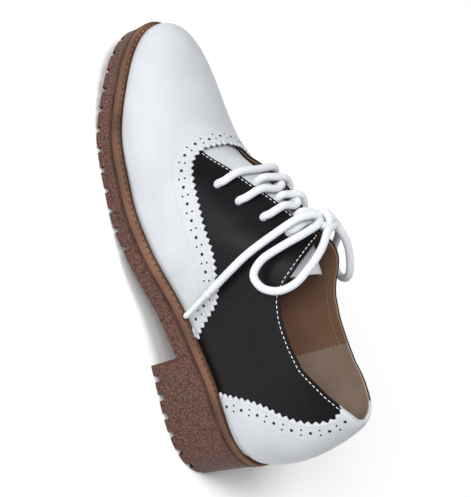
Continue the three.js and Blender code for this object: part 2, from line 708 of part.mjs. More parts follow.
function overlay(rounds, ups, columnsAt, nicks) {
  const skin = skinGeometry(upperPatches(...rounds), CLEARANCE, CLEARANCE + OVERLAY_WALL);
  const patches = [LATERAL, MEDIAL].map((side) => ({
    side,
    columns: spread(0, 1, 12).map((share) => ups.map((up) => ({ round: columnsAt(up, share), up }))),
  }));
  const cutter = skinGeometry(patches, CUTTER_INNER, CUTTER_OUTER);
  return fromManifold(cutAll(toManifold(skin).intersect(toManifold(cutter)), nicks));
}

function vamp() {
  const ups = spread(VAMP_EDGE[0].up, 1, 26);
  const nicks = [LATERAL, MEDIAL].flatMap((side) => pinkingNicks(vampEdge, side, [0, 1], 1));
  return overlay([1.1, 3], ups, (up, share) => vampEdge(up) + (3 - vampEdge(up)) * share, nicks);
}

function counter() {
  const ups = spread(COUNTER_EDGE[0].up, COUNTER_EDGE[COUNTER_EDGE.length - 1].up, 20);
  const nicks = [LATERAL, MEDIAL].flatMap((side) => pinkingNicks(counterEdge, side, [0, 0.66], -1));
  return overlay([0, 1.1], ups, (up, share) => counterEdge(up) * share, nicks);
}

function tongue() {
  const [back, front] = [tongueStations[0].station, tongueStations[tongueStations.length - 1].station];
  const columns = spread(back, front, 12);
  const rows = spread(-1, 1, 6);
  const point = (x, across, below) => new THREE.Vector3(
    x,
    centreLine(x) + across * (across > 0 ? tongueLateral(x) : tongueMedial(x)) * TONGUE_WIDTH / 2,
    tongueHeight(x) - tongueArch(x) * TONGUE_ARCH * across ** 2 - below,
  );
  const layer = (below) => columns.flatMap((x) => rows.map((across) => point(x, across, below)));
  const wide = rows.length;
  const count = columns.length * wide;
  const faces = [];
  for (let i = 0; i + 1 < columns.length; i += 1) {
    for (let j = 0; j + 1 < wide; j += 1) {
      const [a, b, c, d] = [i * wide + j, (i + 1) * wide + j, (i + 1) * wide + j + 1, i * wide + j + 1];
      faces.push([a, b, c], [a, c, d], [a + count, c + count, b + count], [a + count, d + count, c + count]);
    }
  }
  const rim = [
    ...spread(0, wide - 2, wide - 2).map((j) => j),
    ...columns.map((_, i) => i * wide + wide - 1),
    ...spread(wide - 2, 0, wide - 2).map((j) => (columns.length - 1) * wide + j),
    ...columns.slice(1, -1).map((_, i) => (columns.length - 2 - i) * wide),
  ];
  rim.forEach((a, i) => {
    const b = rim[(i + 1) % rim.length];
    faces.push([a, b, b + count], [a, b + count, a + count]);
  });
  return bodyGeometry([...layer(0), ...layer(TONGUE_WALL)], faces);
}

// A tube of a given diameter along points, as a closed body.
function cordGeometry(points, diameter, steps) {
  const path = new THREE.CatmullRomCurve3(points.map((point) => new THREE.Vector3(...point)), false, 'centripetal');
  const section = new THREE.Shape();
  const sides = 8;
  for (let i = 0; i < sides; i += 1) {
    const angle = i / sides * 2 * Math.PI;
    const corner = [diameter / 2 * Math.cos(angle), diameter / 2 * Math.sin(angle)];
    if (i === 0) section.moveTo(...corner);
    else section.lineTo(...corner);
  }
  return new THREE.ExtrudeGeometry(section, { steps, extrudePath: path, bevelEnabled: false });
}

const LACE_LIFT = LACE_DIAMETER / 2 + 3 * CLEARANCE;

// Where the lace lies on an eyelet: just above the leather.
const overEyelet = (row, side) => {
  return offsetPoint(eyeletRound(row, side), side, EYELETS[row].up, LACE_LIFT).toArray();
};

// The lace over the eyestay's edge and over the middle, between two rows.
const overEyestay = (round, side) => offsetPoint(round, side, openingCurve(round) - 0.02, LACE_LIFT).toArray();
const overMiddle = (round) => {
  const height = (overEyestay(round, LATERAL)[2] + overEyestay(round, MEDIAL)[2]) / 2 + 4 * CLEARANCE;
  const { ridgeX, ridgeY } = featherPoint(round, LATERAL);
  const slope = (tongueHeight(ridgeX + 1) - tongueHeight(ridgeX - 1)) / 2;
  return [ridgeX, ridgeY, Math.max(height, tongueHeight(ridgeX) + LACE_LIFT * Math.hypot(1, slope))];
};

function straightBar(row) {
  const points = [
    overEyelet(row, LATERAL),
    overEyestay(eyeletRound(row, LATERAL), LATERAL),
    overMiddle(EYELETS[row].round + EYELET_ADVANCE / 2),
    overEyestay(eyeletRound(row, MEDIAL), MEDIAL),
    overEyelet(row, MEDIAL),
  ];
  return cordGeometry(points, LACE_DIAMETER, 7);
}

// Each strand comes up beside its own eyestay half a row ahead, and crosses to the other side. It
// starts this share of the way from the eyestay's edge to the middle.
const STRAND_START = 0.9;

function crossedBars(row) {
  const { round } = EYELETS[row];
  const ahead = (EYELETS[row - 1].round + round) / 2;
  const strand = (side) => {
    const middle = overMiddle((ahead + round) / 2);
    const own = overEyestay(ahead, side);
    const start = own.map((value, i) => THREE.MathUtils.lerp(value, overMiddle(ahead)[i], STRAND_START));
    return cordGeometry([start, middle, overEyestay(eyeletRound(row, -side), -side), overEyelet(row, -side)], LACE_DIAMETER, 5);
  };
  return fromManifold(joinAll([strand(LATERAL), strand(MEDIAL)]));
}

function knotBall(margin) {
  const ball = new THREE.SphereGeometry(0.5, 12, 8);
  ball.scale(KNOT_SIZE.length + 2 * margin, KNOT_SIZE.width + 2 * margin, KNOT_SIZE.height + 2 * margin);
  ball.translate(...KNOT_CENTRE);
  return ball;
}

// A cord of the bow: it starts inside the knot and is cut to meet it face to face.
const bowCord = (points, steps) =>
  fromManifold(cutAll(toManifold(cordGeometry(points, LACE_DIAMETER, steps)), [knotBall(CLEARANCE)]));

function aglet(route) {
  const [before, tip] = route.slice(-2).map((point) => new THREE.Vector3(...point));
  const along = tip.clone().sub(before).normalize();
  const down = along.clone().setY(along.y * 0.3).normalize();
  const stick = new THREE.CylinderGeometry(AGLET_DIAMETER / 2, AGLET_DIAMETER / 2, AGLET_LENGTH, 8);
  stick.applyQuaternion(new THREE.Quaternion().setFromUnitVectors(new THREE.Vector3(0, 1, 0), down));
  const centre = tip.addScaledVector(along, 2 * CLEARANCE).addScaledVector(down, AGLET_LENGTH / 2);
  stick.translate(...centre.toArray());
  return stick;
}

const shoe = new THREE.Group();
shoe.name = 'saddle_shoe';

function add(name, geometry, finish) {
  const mesh = new THREE.Mesh(geometry, new THREE.MeshStandardMaterial(FINISHES[finish]));
  mesh.name = name;
  shoe.add(mesh);
}

add('outsole', outsole(), 'brown_rubber');
add('welt', welt(), 'welt_leather');
add('insole', insole(), 'tan_leather');
add('upper', upper(), 'black_leather');
add('vamp', vamp(), 'white_leather');
add('counter', counter(), 'white_leather');
add('tongue', tongue(), 'white_leather');
add('lace_bar_1', straightBar(0), 'white_cord');
add('lace_cross_2', crossedBars(1), 'white_cord');
add('lace_cross_3', crossedBars(2), 'white_cord');
add('lace_cross_4', crossedBars(3), 'white_cord');

// The box of the shoe without its bow is centred over the origin.
const box = new THREE.Box3().setFromObject(shoe);
const middle = box.getCenter(new THREE.Vector3());
shoe.position.set(-middle.x, -middle.y, 0);

add('lace_knot', knotBall(0), 'white_cord');
add('lace_loop_lateral', bowCord(ROUTES.lace_loop_lateral, 17), 'white_cord');
add('lace_loop_medial', bowCord(ROUTES.lace_loop_medial, 17), 'white_cord');
add('lace_end_lateral', bowCord(ROUTES.lace_end_lateral, 10), 'white_cord');
add('lace_end_medial', bowCord(ROUTES.lace_end_medial, 10), 'white_cord');
add('aglet_lateral', aglet(ROUTES.lace_end_lateral), 'clear_plastic');
add('aglet_medial', aglet(ROUTES.lace_end_medial), 'clear_plastic');

export default shoe;
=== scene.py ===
# %% [markdown]
# ## A saddle shoe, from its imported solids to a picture
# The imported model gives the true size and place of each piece. This file dresses it: it rebuilds each
# surface finely over the same form, adds stitches, punched holes and laces, and makes the finishes.
# Sizes are written in millimetres in the shoe's own frame and become metres when a mesh is made.

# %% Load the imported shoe
import math

import bmesh
import bpy
import numpy as np
from mathutils import Matrix, Vector


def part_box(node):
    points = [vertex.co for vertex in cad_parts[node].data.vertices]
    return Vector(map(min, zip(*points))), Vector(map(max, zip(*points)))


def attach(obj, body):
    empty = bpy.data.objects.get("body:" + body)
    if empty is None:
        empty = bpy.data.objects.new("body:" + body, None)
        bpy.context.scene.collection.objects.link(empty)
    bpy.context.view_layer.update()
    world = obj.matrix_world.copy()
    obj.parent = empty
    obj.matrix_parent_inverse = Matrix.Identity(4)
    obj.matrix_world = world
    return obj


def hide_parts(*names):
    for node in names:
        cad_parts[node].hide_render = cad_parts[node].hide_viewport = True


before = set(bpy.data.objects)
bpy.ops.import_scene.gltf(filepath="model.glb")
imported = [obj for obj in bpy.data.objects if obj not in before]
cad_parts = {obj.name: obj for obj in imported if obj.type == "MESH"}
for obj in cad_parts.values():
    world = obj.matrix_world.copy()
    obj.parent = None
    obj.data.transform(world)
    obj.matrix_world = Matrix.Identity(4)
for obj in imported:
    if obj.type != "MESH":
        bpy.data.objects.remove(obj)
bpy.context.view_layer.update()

print("The packed shoe has", len(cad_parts), "nodes")

# %% [markdown]
# ## The last
# A shoe is pulled over a last, so every piece of leather follows one surface. A place on it has a
# round, from 0 at the back of the heel to 3 at the tip of the toe, a side, +1 outer or -1 inner, and
# an up, from 0 at the feather line to 1 on the ridge. The tables hold the same sizes as the solids'.

# %% A smooth curve through a table
LATERAL, MEDIAL = 1, -1


def curve_through(xs, ys):
    """A monotone cubic through a table's points, flat beyond its ends."""
    xs, ys = np.array(xs, float), np.array(ys, float)
    steps = np.diff(xs)
    slopes = np.diff(ys) / steps
    tangents = np.zeros(len(xs))
    tangents[0], tangents[-1] = slopes[0], slopes[-1]
    for i in range(1, len(xs) - 1):
        if slopes[i - 1] * slopes[i] > 0:
            before, after = 2 * steps[i] + steps[i - 1], steps[i] + 2 * steps[i - 1]
            tangents[i] = (before + after) / (before / slopes[i - 1] + after / slopes[i])

    def value(x):
        x = np.clip(x, xs[0], xs[-1])
        i = np.clip(np.searchsorted(xs, x, side="right") - 1, 0, len(xs) - 2)
        s = (x - xs[i]) / steps[i]
        start = ys[i] * (2 * s**3 - 3 * s**2 + 1) + steps[i] * tangents[i] * (s**3 - 2 * s**2 + s)
        end = ys[i + 1] * (3 * s**2 - 2 * s**3) + steps[i] * tangents[i + 1] * (s**3 - s**2)
        return start + end

    return value


# %% Sizes and tables of the last
LENGTH = 272.0
HEEL_HALF, BALL_HALF = 27.5, 40.5
WELT_REACH, HEEL_REACH = 5.0, 3.5
TOE_END, HEEL_END = LENGTH / 2 - WELT_REACH, HEEL_REACH - LENGTH / 2
BALL, HEEL = LENGTH * 0.18, LENGTH * -0.3235
TOE_ARC, HEEL_ARC = TOE_END - BALL, HEEL - HEEL_END
TOE_CENTRES = (TOE_ARC**2 - BALL_HALF**2) / TOE_ARC
HEEL_CENTRES = (HEEL_ARC**2 - HEEL_HALF**2) / HEEL_ARC
SOLE, WELT, GAP, GROUND_CUT = 12.7, 4.0, 0.3, 0.5
STACK = SOLE + WELT + 2 * GAP
UNDER_WELT = 2 * GAP + WELT
HEEL_LENGTH = 70.0
BREAST = HEEL_LENGTH - LENGTH / 2
SIDES = (LATERAL, MEDIAL)

ALONG = [0, 0.35, 0.62, 1]
WIDTH = {
    LATERAL: curve_through(ALONG, [0, 0.215, 0.81, 0.925]),
    MEDIAL: curve_through(ALONG, [0, -0.08, 0.27, 1.075]),
}
CENTRE = curve_through(LENGTH * np.array([-0.49, -0.32, 0, 0.18, 0.48]), [0, 0, -0.99, -2.01, -3])
STATIONS = LENGTH * np.array([-0.489, -0.338, -0.221, -0.055, 0.11, 0.221, 0.368, 0.482])
HEEL_LIFT = curve_through(STATIONS, [1, 0.946, 0.728, 0.34, 0.011, 0, 0, 0])
TOE_SPRING = curve_through(STATIONS, [0, 0, 0, 0, 0, 0, 0.6, 1])
RIDGE_STATIONS = LENGTH * np.array(
    [-0.489, -0.386, -0.309, -0.221, -0.147, -0.074, -0.011, 0.044, 0.118, 0.169, 0.221, 0.3125, 0.412]
)
RISE = curve_through(
    RIDGE_STATIONS,
    [1.53, 1.568, 1.661, 1.698, 1.605, 1.326, 1.065, 0.888, 0.599, 0.338, 0.185, 0.055, 0],
)
SECTIONS = [0, 0.3, 0.6, 0.9, 1.2, 1.6, 2, 2.4, 2.8, 3]
LOW = curve_through(SECTIONS, [0.38, 0.38, 0.38, 0.4, 0.43, 0.5, 0.54, 0.575, 0.6, 0.62])
HIGH = curve_through(SECTIONS, [0.3, 0.42, 0.54, 0.62, 0.66, 0.5, 0.53, 0.59, 0.62, 0.62])
SWELL = curve_through(SECTIONS, 6 * np.array([2.33, 2, 1.5, 1.17, 1, 0.83, 0.65, 0.48, 0.5, 0.5]))
EYESTAY_FRONT = (1.985, 0.684)
OPENING = curve_through(
    [0, 0.3, 0.55, 0.75, 1, 1.1, 1.19, 1.27, 1.34, 1.4]
    + [1.445, 1.49, 1.515, 1.54, 1.613, 1.693, 1.805, 1.885, 1.985],
    [0.7, 0.69, 0.645, 0.575, 0.47, 0.44, 0.43, 0.445, 0.5, 0.6]
    + [0.705, 0.84, 0.94, 0.955, 0.915, 0.862, 0.777, 0.733, 0.684],
)
VAMP_EDGE = curve_through(
    [0, 0.044, 0.107, 0.18, 0.242, 0.29, 0.331, 0.355, 0.382, 0.428, 0.473, 0.554, 0.645, 0.72, 0.796, 1],
    [1.205, 1.239, 1.281, 1.335, 1.434, 1.507, 1.591, 1.663]
    + [1.728, 1.824, 1.888, 1.943, 1.974, 1.99, 1.997, 2.007],
)
COUNTER_EDGE = curve_through(
    [0, 0.171, 0.26, 0.344, 0.413, 0.492, 0.572, 0.632, 0.661],
    [0.969, 0.861, 0.785, 0.675, 0.586, 0.512, 0.474, 0.518, 0.55],
)
EYELETS = [(1.821, 0.564), (1.729, 0.61), (1.639, 0.683), (1.55, 0.745)]
MEDIAL_ADVANCE = 0.03
INNER_RAISE = curve_through(
    [0.25, 0.7, 1, 1.25, 1.4, 1.515, 1.6, 1.7, 1.8, 1.9, 2],
    4.6 * np.array([0, 0.74, 0.96, 1, 0.7, 0.2, 0.5, 0.86, 0.93, 0.6, 0]),
)


# %% The surface of the last
def feather_height(x):
    return STACK - GROUND_CUT + 27.9 * HEEL_LIFT(x) + 11.5 * TOE_SPRING(x)


def ridge_height(x):
    return STACK - GROUND_CUT + 30.5 + 53.7 * RISE(x)


def feather_line(place, side):
    """The feather line and the ridge point that its section leads to, in plan."""
    heel = (1 - np.clip(place, 0, 1)) * math.pi / 2
    toe = (np.clip(place, 2, 3) - 2) * math.pi / 2
    along = np.clip(place, 1, 2) - 1
    station = HEEL + (BALL - HEEL) * along
    square = 1 + 0.05 * np.sin(2 * heel) ** 2
    x = station - HEEL_ARC * np.sin(heel) * square + TOE_ARC * np.sin(toe)
    ridge_x = station - HEEL_CENTRES * np.sin(heel) + TOE_CENTRES * np.sin(toe)
    half = HEEL_HALF + (BALL_HALF - HEEL_HALF) * WIDTH[side](along)
    y = CENTRE(x) + side * half * np.cos(heel) * square * np.cos(toe)
    return x, y, ridge_x, CENTRE(ridge_x)


def last_point(place, side, up):
    x, y, ridge_x, ridge_y = feather_line(place, side)
    reach = np.hypot(x - ridge_x, y - ridge_y)
    foot, top = feather_height(x), ridge_height(ridge_x)
    slope = (ridge_height(ridge_x + 1) - ridge_height(ridge_x - 1)) / 2
    high, down = HIGH(place), 1 - up
    weights = [down**3, 3 * up * down**2, 3 * up**2 * down, up**3]
    out = weights[0] + weights[1] * (1 + SWELL(place) / reach) + weights[2] * high
    heights = [foot, foot + LOW(place) * (top - foot), top + slope * (x - ridge_x) * high, top]
    z = sum(weight * height for weight, height in zip(weights, heights))
    if side == MEDIAL:
        near_edge = np.clip((up / OPENING(place) - 0.5) / 0.5, 0, 1)
        z = z + INNER_RAISE(place) * near_edge**2 * (3 - 2 * near_edge)
    return np.stack([ridge_x + (x - ridge_x) * out, ridge_y + (y - ridge_y) * out, z], -1)


def unit(vectors):
    return vectors / np.maximum(np.linalg.norm(vectors, axis=-1, keepdims=True), 1e-12)


def run_along(points):
    """The distance along a chain of points to each of them."""
    return np.concatenate([[0], np.cumsum(np.linalg.norm(np.diff(points, axis=0), axis=1))])


def last_slopes(place, side, up, step=1e-3):
    """How a place moves for a step in place and in up."""
    ahead, behind = np.clip(place + step, 0, 3), np.clip(place - step, 0, 3)
    by_place = (last_point(ahead, side, up) - last_point(behind, side, up)) / (ahead - behind)[..., None]
    by_up = (last_point(place, side, up + step) - last_point(place, side, up - step)) / (2 * step)
    return by_place, by_up


def last_normal(place, side, up):
    place, up = np.broadcast_arrays(np.asarray(place, float), np.asarray(up, float))
    normals = {s: unit(np.cross(*last_slopes(place, s, up)[::-1])) * s for s in SIDES}
    normal = normals[side]
    ends = (place <= 0) | (place >= 3)
    normal = np.where(ends[..., None], unit(normals[LATERAL] + normals[MEDIAL]), normal)
    ridge_x = feather_line(place, side)[2]
    tilt = (ridge_height(ridge_x - 1) - ridge_height(ridge_x + 1)) / 2
    over = unit(np.stack([tilt, np.zeros_like(tilt), np.ones_like(tilt)], -1))
    return np.where((up >= 1)[..., None], over, normal)


def outline(place, side, reach):
    """The feather line pushed outwards in plan."""
    (x, y), (x1, y1), (x0, y0) = (
        feather_line(np.clip(place + step, 0, 3), side)[:2] for step in (0, 1e-3, -1e-3)
    )
    out = unit(np.stack([-(y1 - y0) * side, (x1 - x0) * side], -1))
    out = np.where((place <= 0)[..., None], [-1.0, 0.0], out)
    out = np.where((place >= 3)[..., None], [1.0, 0.0], out)
    return x + out[..., 0] * reach, y + out[..., 1] * reach


def skin(place, side, up, lift):
    """A place on the last pushed out along its normal, and level along the feather line."""
    lift = np.asarray(lift, float)
    points = last_point(place, side, up) + last_normal(place, side, up) * lift[..., None]
    x, y = outline(place, side, lift)
    level = np.stack([x, y, feather_height(x)], -1)
    return np.where((np.asarray(up) <= 0)[..., None], level, points)


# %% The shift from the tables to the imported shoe
round_places = np.linspace(0, 3, 601)
toe_tip = outline(np.array([3.0]), LATERAL, WELT_REACH)[0][0]
widest = max(outline(round_places, LATERAL, WELT_REACH)[1])
SHIFT = np.array([1000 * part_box("welt")[1].x - toe_tip, 1000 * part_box("welt")[1].y - widest, 0])
print("The solids' frame is", SHIFT.round(2), "mm from the tables'")


# %% [markdown]
# ## Meshes from points
# Most pieces are sheets or rings of points in a grid. One function turns millimetres into a mesh in
# metres and sews the seams where two grids meet.

# %% Mesh helpers
def link_object(name, data):
    made = bpy.data.objects.new(name, data)
    bpy.context.scene.collection.objects.link(made)
    return made


def mesh_object(name, points, faces, materials, slots=None, crisp=38, corner_uvs=None):
    mesh = bpy.data.meshes.new(name)
    mesh.from_pydata(((np.asarray(points) + SHIFT) / 1000).tolist(), [], faces)
    for material in materials:
        mesh.materials.append(material)
    if slots is not None:
        mesh.polygons.foreach_set("material_index", slots)
    if corner_uvs is not None:
        mesh.uv_layers.new(name="along").data.foreach_set("uv", np.asarray(corner_uvs).ravel())
    sewn = bmesh.new()
    sewn.from_mesh(mesh)
    bmesh.ops.remove_doubles(sewn, verts=sewn.verts, dist=8e-6)
    bmesh.ops.dissolve_degenerate(sewn, edges=sewn.edges, dist=2e-6)
    sewn.to_mesh(mesh)
    sewn.free()
    mesh.shade_smooth()
    mesh.set_sharp_from_angle(angle=math.radians(crisp))
    return link_object(name, mesh)


def face_outwards(piece):
    turned = bmesh.new()
    turned.from_mesh(piece.data)
    bmesh.ops.recalc_face_normals(turned, faces=turned.faces)
    turned.to_mesh(piece.data)
    turned.free()
    return piece


def grid_faces(rows, columns, start=0, flip=False):
    index = start + np.arange(rows * columns).reshape(rows, columns)
    corners = [index[:-1, :-1], index[:-1, 1:], index[1:, 1:], index[1:, :-1]]
    if flip:
        corners.reverse()
    return np.stack([corner.ravel() for corner in corners], -1).tolist()


def sheet_object(name, patches, materials, crisp=38):
    """Patches are (grid of points, flipped), and their shared edges are sewn."""
    points, faces = [], []
    for grid, flip in patches:
        faces += grid_faces(grid.shape[0], grid.shape[1], sum(len(p) for p in points), flip)
        points.append(grid.reshape(-1, 3))
    return mesh_object(name, np.concatenate(points), faces, materials, crisp=crisp)


def give_wall(piece, wall_mm, rim=0, inner=0):
    """A wall that grows inwards, with the offsets of its rim's and its inner face's materials."""
    wall = piece.modifiers.new("wall", "SOLIDIFY")
    wall.thickness = wall_mm / 1000
    wall.offset = -1
    wall.material_offset = inner
    wall.material_offset_rim = rim


def apply_modifiers(piece):
    """The piece as its modifiers leave it, as a plain mesh."""
    evaluated = piece.evaluated_get(bpy.context.evaluated_depsgraph_get())
    mesh = bpy.data.meshes.new_from_object(evaluated)
    piece.modifiers.clear()
    piece.data = mesh


def dress(piece, slot, *nodes):
    """The piece rides on the shoe and stands for its CAD nodes; its slot is not used."""
    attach(piece, "root")
    if nodes:
        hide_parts(*nodes)
    print(piece.name, "has", len(piece.data.polygons), "faces")


# %% [markdown]
# ## The camera
# The photograph looks down on the outer side of the shoe, from about 37 degrees above the sole's
# level and slightly from behind, with the toe at the top of the picture. The lens is long, as for a
# product picture.

# %% Camera
AZIMUTH, ELEVATION, ROLL = math.radians(99.56), math.radians(37.38), math.radians(72.72)
DISTANCE, PIXELS_PER_MM, PICTURE = 1200.0, 1.719, (471, 497)
TARGET = Vector((0, 0, 0.05)) + Vector(SHIFT) / 1000
TARGET_PIXEL = (226.3, 233.5)

level = math.cos(ELEVATION)
back = Vector((level * math.cos(AZIMUTH), level * math.sin(AZIMUTH), math.sin(ELEVATION)))
right = (-back).cross(Vector((0, 0, 1))).normalized()
above = right.cross(-back)
image_right = right * math.cos(ROLL) + above * math.sin(ROLL)
image_up = above * math.cos(ROLL) - right * math.sin(ROLL)

camera_data = bpy.data.cameras.new("camera")
camera_data.sensor_width = 36.0
camera_data.lens = PIXELS_PER_MM * DISTANCE * camera_data.sensor_width / max(PICTURE)
camera_data.shift_x = (PICTURE[0] / 2 - TARGET_PIXEL[0]) / max(PICTURE)
camera_data.shift_y = (TARGET_PIXEL[1] - PICTURE[1] / 2) / max(PICTURE)
camera_data.clip_start, camera_data.clip_end = 0.05, 20.0
camera = link_object("camera", camera_data)
turned = Matrix((image_right, image_up, back)).transposed().to_4x4()
camera.matrix_world = Matrix.Translation(TARGET + back * DISTANCE / 1000) @ turned
bpy.context.scene.camera = camera
print("The lens is", round(camera_data.lens, 1), "mm")


# %% [markdown]
# ## Node helpers
# Materials and Geometry Nodes trees are both made of nodes. One small function adds any node with its
# settings and links. Colours are written as sRGB hex values, and one function makes them linear.

# %% Node helpers
def colour(code):
    channels = [int(code[i : i + 2], 16) / 255 for i in (1, 3, 5)]
    return (*(c / 12.92 if c <= 0.04045 else ((c + 0.055) / 1.055) ** 2.4 for c in channels), 1.0)


def add_node(tree, kind, inputs=None, **settings):
    made = tree.nodes.new(kind)
    for name, value in settings.items():
        setattr(made, name, value)
    for name, value in (inputs or {}).items():
        if isinstance(value, bpy.types.NodeSocket):
            tree.links.new(value, made.inputs[name])
        else:
            made.inputs[name].default_value = value
    return made


def output(tree, socket, kind, inputs=None, **settings):
    return add_node(tree, kind, inputs, **settings).outputs[socket]


def new_material(name, **constants):
    """A material with a shader whose constant sockets are set."""
    material = bpy.data.materials.new(name)
    material.use_nodes = True
    tree = material.node_tree
    shader = tree.nodes["Principled BSDF"]
    for socket, value in constants.items():
        shader.inputs[socket.replace("_", " ")].default_value = value
    return material, tree, shader


def tone(tree, shader, factor, *stops):
    """The base colour from a ramp of (position, hex colour) stops."""
    made = add_node(tree, "ShaderNodeValToRGB", {"Fac": factor})
    for i, (position, code) in enumerate(stops):
        stop = made.color_ramp.elements[i] if i < 2 else made.color_ramp.elements.new(position)
        stop.position = position
        stop.color = colour(code)
    tree.links.new(made.outputs["Color"], shader.inputs["Base Color"])


def relief(tree, shader, height, strength, depth_mm):
    inputs = {"Height": height, "Strength": strength, "Distance": depth_mm / 1000}
    tree.links.new(output(tree, "Normal", "ShaderNodeBump", inputs), shader.inputs["Normal"])


# %% [markdown]
# ## Leather
# The white and the black uppers are corrected-grain calf: sanded, pigmented and polished, so the
# grain is nearly gone and a soft wide highlight lies over it. Noise over tens of millimetres gives the
# cloudy tone of real hide, a fine Voronoi gives the pores, and the coat is the polish.

# %% Leather materials
def leather(name, dark, light, roughness, grain_mm, depth_mm, coat=0.0, specular=0.5):
    material, tree, shader = new_material(name, IOR=1.5, Specular_IOR_Level=specular, Coat_Weight=coat,
                                          Coat_Roughness=0.4)
    place = output(tree, "Object", "ShaderNodeTexCoord")
    cloud = output(tree, "Fac", "ShaderNodeTexNoise", {"Vector": place, "Scale": 38.0, "Detail": 3.0})
    tone(tree, shader, cloud, (0.3, dark), (0.7, light))
    around = {"Value": cloud, "To Min": roughness - 0.05, "To Max": roughness + 0.05}
    tree.links.new(output(tree, "Result", "ShaderNodeMapRange", around), shader.inputs["Roughness"])
    pores = output(tree, "Distance", "ShaderNodeTexVoronoi", {"Vector": place, "Scale": 1000 / grain_mm})
    wrinkle = output(tree, "Fac", "ShaderNodeTexNoise", {"Vector": place, "Scale": 300.0, "Detail": 4.0})
    height = output(tree, "Value", "ShaderNodeMath", {0: pores, 1: wrinkle}, operation="ADD")
    relief(tree, shader, height, 0.6, depth_mm)
    return material


WHITE_CALF = leather("polished_white_calf", "#B1B4B9", "#BCBFC4", 0.42, 0.7, 0.03, 0.06, 0.35)
BLACK_CALF = leather("polished_black_calf", "#09080B", "#0E0D11", 0.33, 0.7, 0.03, 0.0, 0.17)
PIG_LINING = leather("pigskin_lining", "#6F5341", "#80634F", 0.72, 1.1, 0.08, 0.0, 0.3)
HEEL_LINING = leather("suede_heel_lining", "#806E5F", "#958173", 0.85, 0.9, 0.08, 0.0, 0.3)
SOCK = leather("beige_sock_leather", "#B8957C", "#C9A88F", 0.65, 1.0, 0.06)
CUT_WHITE = leather("white_cut_edge", "#B5B8BC", "#C9CBCF", 0.7, 0.5, 0.03)
CUT_BLACK = leather("black_bound_edge", "#0D0D0F", "#141416", 0.5, 0.6, 0.03, 0.0, 0.2)


# %% [markdown]
# ## The upper
# The saddle, the quarters and the hidden front are one lined shell. It is a grid on the last up to
# the opening's edge, given a 2 mm wall inwards, with its lining on the inner face and a black bound
# edge on the rim. The eyelets are plain punched holes, so a boolean punches them.

# %% Upper shell
def shell_patch(side):
    place, share = np.meshgrid(upper_places, np.linspace(0, 1, 44), indexing="ij")
    return skin(place, side, share * OPENING(place), 0.0), side == MEDIAL


def bridge_patch(side):
    """The part in front of the eyestays that closes the shell over the toes."""
    front, front_up = EYESTAY_FRONT
    place, up = np.meshgrid(upper_places[upper_places >= front], np.linspace(front_up, 1, 14), indexing="ij")
    hidden_start = 0.05 * np.clip((up - front_up) / 0.06, 0, 1)
    place = place + hidden_start * (3 - place) / (3 - front)
    return skin(place, side, up, 0.0), side == MEDIAL


upper_runs = [(0, 1, 44), (1, 1.44, 40), (1.44, 1.56, 26)]
upper_runs += [(1.56, EYESTAY_FRONT[0], 50), (EYESTAY_FRONT[0], 3, 50)]
upper_places = np.unique(np.concatenate([np.linspace(*run) for run in upper_runs]))
upper_patches = [shell_patch(side) for side in SIDES] + [bridge_patch(side) for side in SIDES]
upper = sheet_object("upper_shell", upper_patches, [BLACK_CALF, PIG_LINING, CUT_BLACK, HEEL_LINING])
give_wall(upper, 2.0, rim=2, inner=1)
apply_modifiers(upper)


def bind_rim(piece, rim, lining, swell_mm):
    """Rounds the wall's edge over, and gives the lining its share of it."""
    bound = bmesh.new()
    bound.from_mesh(piece.data)
    cross = [edge for edge in bound.edges
             if len(edge.link_faces) == 2 and all(face.material_index == rim for face in edge.link_faces)]
    made = bmesh.ops.subdivide_edges(bound, edges=cross, cuts=2, use_grid_fill=True)
    bound.normal_update()
    for vertex in made["geom_inner"]:
        if isinstance(vertex, bmesh.types.BMVert):
            vertex.co += vertex.normal * swell_mm / 1000
    inner = [face for face in bound.faces if face.material_index == rim
             and any(other.material_index == lining for edge in face.edges for other in edge.link_faces)]
    for face in inner:
        face.material_index = lining
    bound.to_mesh(piece.data)
    bound.free()


bind_rim(upper, 2, 1, 0.35)


def eyelet(row, side):
    """The inner side's eyelets sit a little further forward."""
    place, up = EYELETS[row]
    return (place, up) if side == LATERAL else (place + MEDIAL_ADVANCE, up)


punch_points, punch_faces = [], []
for side in SIDES:
    for row in range(len(EYELETS)):
        place, up = eyelet(row, side)
        centre = Vector(last_point(np.array(place), side, np.array(up)))
        axis = Vector(last_normal(place, side, up))
        across = axis.orthogonal().normalized()
        other = axis.cross(across)
        start = len(punch_points)
        for depth in (-5, 4):
            for turn in np.linspace(0, 2 * math.pi, 24, endpoint=False):
                rim = across * math.cos(turn) * 2.5 + other * math.sin(turn) * 2.5
                punch_points.append(centre + rim + axis * depth)
        for k in range(24):
            after = (k + 1) % 24
            punch_faces.append([start + k, start + after, start + 24 + after, start + 24 + k])
        punch_faces += [list(range(start + 23, start - 1, -1)), list(range(start + 24, start + 48))]
punches = mesh_object("punches", punch_points, punch_faces, [CUT_BLACK])
punching = upper.modifiers.new("punching", "BOOLEAN")
punching.object = punches
punching.operation = "DIFFERENCE"
punching.solver = "EXACT"
apply_modifiers(upper)
bpy.data.objects.remove(punches)
upper.data.set_sharp_from_angle(angle=math.radians(38))

SEAM_X = -77.0
heel_seam = (SHIFT[0] + SEAM_X) / 1000
wrapped = (SHIFT[0] + last_point(np.array(0.57), LATERAL, np.array(OPENING(0.57)))[0]) / 1000
upper.data.materials.append(WHITE_CALF)
for face in upper.data.polygons:
    if face.material_index == 1 and face.center.x < heel_seam:
        face.material_index = 3
    if face.material_index == 2 and face.center.x < wrapped:
        face.material_index = 4
dress(upper, "black_leather", "upper")


